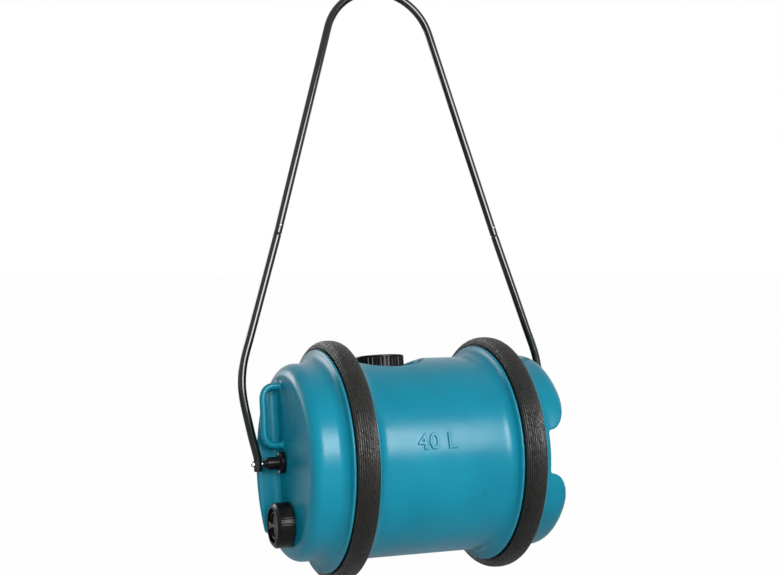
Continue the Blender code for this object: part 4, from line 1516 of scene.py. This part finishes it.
@dataclass
class Handle:
    """The tube handle: two bowed lower arms that plug into one upper loop."""

    finishes: Finishes
    pivot_x: float = 0.2594
    tube_r: float = 0.0070
    end_h: float = -0.0133
    arm_lean: float = math.radians(17.4)
    joint_x: float = 0.2082
    joint_h: float = 0.3936
    loop_r: float = 0.1025
    loop_h: float = 0.7405

    @property
    def lean(self) -> float:
        """The angle from upright of the loop's legs."""
        rise = self.loop_h - self.joint_h
        return math.acos(self.loop_r / math.hypot(self.joint_x, rise)) - math.atan2(rise, self.joint_x)

    def arm(self, side: Side) -> bpy.types.Object:
        """Build one lower arm, round-nosed at its foot and drawn in at the joint.

        Args:
            side: The end of the drum that it hangs on.

        Returns:
            The tube.
        """
        bow = [(self.pivot_x, self.end_h), (self.pivot_x, self.end_h + 0.0006), (self.pivot_x, self.end_h + 0.0020),
               (self.pivot_x, 0.0), (self.pivot_x, 0.0080), (self.pivot_x + 0.0024, 0.0200),
               (0.2679, 0.0461), (0.2735, 0.0738), (0.2784, 0.0984), (0.2811, 0.1189), (0.2817, 0.1363),
               (0.2805, 0.1527), (0.2776, 0.1702), (0.2730, 0.1876)]
        heights = [0.2101, 0.2400, 0.2900, 0.3400, 0.3800, 0.3912, 0.3926]
        straight = [(self.joint_x + math.tan(self.arm_lean) * (self.joint_h - h), h) for h in heights]
        neck = [(self.joint_x + math.sin(self.lean) * 0.0004, self.joint_h - math.cos(self.lean) * 0.0004),
                (self.joint_x - math.sin(self.lean) * 0.0060, self.joint_h + math.cos(self.lean) * 0.0060)]
        line = bow + straight + neck
        radii = [0.70, 0.90, 1.0] + [1.0] * (len(bow) + len(straight) - 4) + [0.90, 0.76, 0.76]
        points = [(side.value * x, 0.0, h) for x, h in line]
        return swept(side.word + "_bowed_arm", points, self.tube_r, radii)

    def loop(self) -> bpy.types.Object:
        """Build the upper loop, from one joint over the round top to the other.

        Returns:
            The tube.
        """
        bend = math.degrees(self.lean)
        top = arc((0.0, self.loop_h), self.loop_r, bend, 180.0 - bend, 24)
        foot = (self.joint_x, self.joint_h)
        leg = []
        for t in (0.0, 0.002, 0.006, 0.03, 0.2, 0.4, 0.6, 0.8, 0.95):
            leg.append((foot[0] + (top[0][0] - foot[0]) * t, foot[1] + (top[0][1] - foot[1]) * t))
        line = leg + top + [(-x, h) for x, h in reversed(leg)]
        radii = [0.93, 1.0] + [1.0] * (len(line) - 4) + [1.0, 0.93]
        return swept("handle_loop", [(x, 0.0, h) for x, h in line], self.tube_r, radii)

    def build(self) -> list[Piece]:
        """Build the tubes of the handle.

        Returns:
            Both lower arms and the loop.
        """
        made = []
        for side in Side:
            arm = dress(move(self.arm(side), handle_place()), self.finishes.tube)
            made.append(Piece(arm, "handle", Slot.TUBE, (side.word + "_lower_arm",)))
        loop = dress(move(self.loop(), handle_place()), self.finishes.tube)
        made.append(Piece(loop, "handle", Slot.TUBE, ("upper_loop",)))
        return made


@dataclass
class SnapButton:
    """One snap button that locks a joint: a domed pin with a turned shoulder."""

    side: Side
    handle: Handle
    above_joint: float = 0.014
    radius: float = 0.0023

    def build(self) -> list[Piece]:
        """Build the button.

        Returns:
            The button alone.
        """
        lean = self.handle.lean
        line = [(0.0034, 0.0), (0.0034, self.radius), (0.0068, self.radius)]
        line += [(z, r) for r, z in arc((0.0, 0.0068), (self.radius, 0.0019), 0.0, 90.0, 8)]
        button = spun(self.side.word + "_domed_button", line, Axis.Z, 40)
        centre = (self.side.value * (self.handle.joint_x - math.sin(lean) * self.above_joint), 0.0,
                  self.handle.joint_h + math.cos(lean) * self.above_joint)
        seat = Matrix.Translation(centre) @ Matrix.Rotation(-self.side.value * lean, 4, "Y")
        move(button, handle_place() @ seat @ Matrix.Rotation(math.pi / 2, 4, "X"))
        dress(button, self.handle.finishes.bright)
        node = self.side.word + "_snap_button"
        return [Piece(button, self.side.word + "_button", Slot.BRIGHT, (node,))]


@dataclass
class CapacityMark:
    """A plain raised capacity figure, moulded in the drum's near side."""

    finishes: Finishes
    text: str = "40 L"
    height: float = 0.0260
    left_x: float = -0.0360
    rise: float = 0.0350
    drum_r: float = 0.1707
    relief: float = 0.0022

    def build(self) -> list[Piece]:
        """Build the figure and bend it round the drum.

        Returns:
            The figure alone.
        """
        bpy.ops.object.select_all(action="DESELECT")
        bpy.ops.object.text_add()
        words = bpy.context.active_object
        words.name = "capacity_figure"
        words.data.body = self.text
        words.data.size = self.height / 0.70
        words.data.extrude = self.relief
        words.data.bevel_depth = 0.0007
        words.data.bevel_resolution = 1
        words.data.space_character = 1.08
        choose(words)
        bpy.ops.object.convert(target="MESH")
        figure = bpy.context.active_object
        apply_modifier(figure, "REMESH", mode="VOXEL", voxel_size=0.0005, use_smooth_shade=True)
        for vertex in figure.data.vertices:
            turn = (self.rise + vertex.co.y) / self.drum_r
            r = self.drum_r + vertex.co.z
            vertex.co = (self.left_x + vertex.co.x, -r * math.cos(turn), AXIS_Z + r * math.sin(turn))
        clean(figure, 0.0000005)
        dress(figure, self.finishes.drum)
        return [Piece(figure, "drum", Slot.DRUM)]


@dataclass
class CarriedNodes:
    """The CAD nodes that stay as they are, each with a better material."""

    finishes: Finishes

    def build(self) -> None:
        """Dress the seals, bushes and springs."""
        chosen = {
            "filler_gasket": self.finishes.seal,
            "outlet_gasket": self.finishes.seal,
            "left_hub_bush": self.finishes.bush,
            "right_hub_bush": self.finishes.bush,
            "left_button_spring": self.finishes.spring,
            "right_button_spring": self.finishes.spring,
        }
        for name, finish in chosen.items():
            dress(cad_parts[name], finish)
            LOG.info("%s: CAD node in %s", name, finish.name)


@dataclass
class Studio:
    """The pale floor, the soft lights and the photograph's camera."""

    eye: Point3 = (-0.8473, -2.0989, 0.5381)
    target: Point3 = (-0.0205, 0.0, 0.5007)
    focal_px: float = 1291.74
    image_px: float = 780.0
    sensor_mm: float = 36.0
    sky: float = 0.12
    floor_z: float = -0.0002
    floor_size: float = 160.0

    def camera(self) -> None:
        """Make the camera at the photograph's viewpoint."""
        data = bpy.data.cameras.new("photo_camera")
        data.sensor_width = self.sensor_mm
        data.lens = self.focal_px / self.image_px * self.sensor_mm
        data.clip_start = 0.05
        data.clip_end = 200.0
        camera = bpy.data.objects.new("photo_camera", data)
        bpy.context.scene.collection.objects.link(camera)
        camera.location = self.eye
        camera.rotation_euler = (Vector(self.target) - Vector(self.eye)).to_track_quat("-Z", "Y").to_euler()
        bpy.context.scene.camera = camera

    def soft_box(self, name: str, place: Point3, aim: Point3, size: Point, radiance: float) -> bpy.types.Object:
        """Add a rectangular soft box.

        Args:
            name: The light's name.
            place: Where it stands.
            aim: What it faces.
            size: Its width and height.
            radiance: How bright its face is, where 1 is paper white.

        Returns:
            The light.
        """
        data = bpy.data.lights.new(name, "AREA")
        data.shape = "RECTANGLE"
        data.size, data.size_y = size
        data.energy = radiance * math.pi * size[0] * size[1]
        light = bpy.data.objects.new(name, data)
        bpy.context.scene.collection.objects.link(light)
        light.location = place
        light.rotation_euler = (Vector(aim) - Vector(place)).to_track_quat("-Z", "Y").to_euler()
        return light

    def world(self) -> None:
        """Make a white surround that the camera and gloss see at full white."""
        world = bpy.data.worlds.new("white_studio")
        bpy.context.scene.world = world
        world.use_nodes = True
        tree = world.node_tree
        background = tree.nodes["Background"]
        background.inputs["Color"].default_value = (1.0, 1.0, 1.0, 1.0)
        path = add_node(tree, "ShaderNodeLightPath")
        first = add_node(
            tree,
            "ShaderNodeMath",
            links={0: path.outputs["Is Camera Ray"], 1: path.outputs["Is Glossy Ray"]},
            operation="MAXIMUM",
        )
        seen = add_node(
            tree,
            "ShaderNodeMath",
            links={0: first.outputs[0], 1: path.outputs["Is Transmission Ray"]},
            operation="MAXIMUM",
        )
        strength = add_node(
            tree, "ShaderNodeMapRange", {"To Min": self.sky, "To Max": 1.0}, {"Value": seen.outputs[0]}
        )
        tree.links.new(strength.outputs[0], background.inputs["Strength"])

    def floor(self) -> None:
        """Lay the floor: a wide sheet just under the tyres, so that it never cuts into them."""
        bpy.ops.object.select_all(action="DESELECT")
        bpy.ops.mesh.primitive_grid_add(x_subdivisions=40, y_subdivisions=40, size=self.floor_size)
        floor = bpy.context.active_object
        floor.name = "studio_floor"
        for vertex in floor.data.vertices:
            vertex.co.z = self.floor_z
        dress(floor, StudioFloor().build())

    def build(self) -> None:
        """Make the whole studio."""
        self.camera()
        self.world()
        self.floor()
        drum = (0.0, 0.0, 0.28)
        beside = (-0.1, 0.0, 0.28)
        self.soft_box("key_box", (0.35, -2.22, 1.27), drum, (1.60, 1.10), 7.4)
        # Only gloss shows the strip in front of the key box, and only matt colour feels the wide fill.
        strip = self.soft_box("key_strip", (0.35, -2.21, 1.265), drum, (1.58, 1.08), 13.6)
        strip.visible_diffuse = False
        fill = self.soft_box("fill_box", (-0.85, -2.15, 1.10), beside, (1.80, 1.40), 4.6)
        fill.visible_glossy = False
        self.soft_box("rim_box", (-1.38, 1.94, 0.86), beside, (1.0, 0.8), 6.5)
        bpy.context.scene.view_settings.view_transform = "Standard"


def main() -> None:
    """Build the studio, then each sub-assembly in order."""
    Studio().build()
    finishes = Finishes()
    handle = Handle(finishes)
    assemblies = [
        Drum(finishes),
        Tyre("left_tyre", LEFT_TYRE_X, finishes),
        Tyre("right_tyre", RIGHT_TYRE_X, finishes),
        FillerCap(finishes),
        OutletCap(finishes),
        *[Hub(side, finishes) for side in Side],
        handle,
        *[SnapButton(side, handle) for side in Side],
        CapacityMark(finishes),
    ]
    for assembly in assemblies:
        LOG.info("Building %s", type(assembly).__name__)
        for piece in assembly.build():
            piece.join_frame()
    CarriedNodes(finishes).build()


if __name__ == "__main__":
    main()
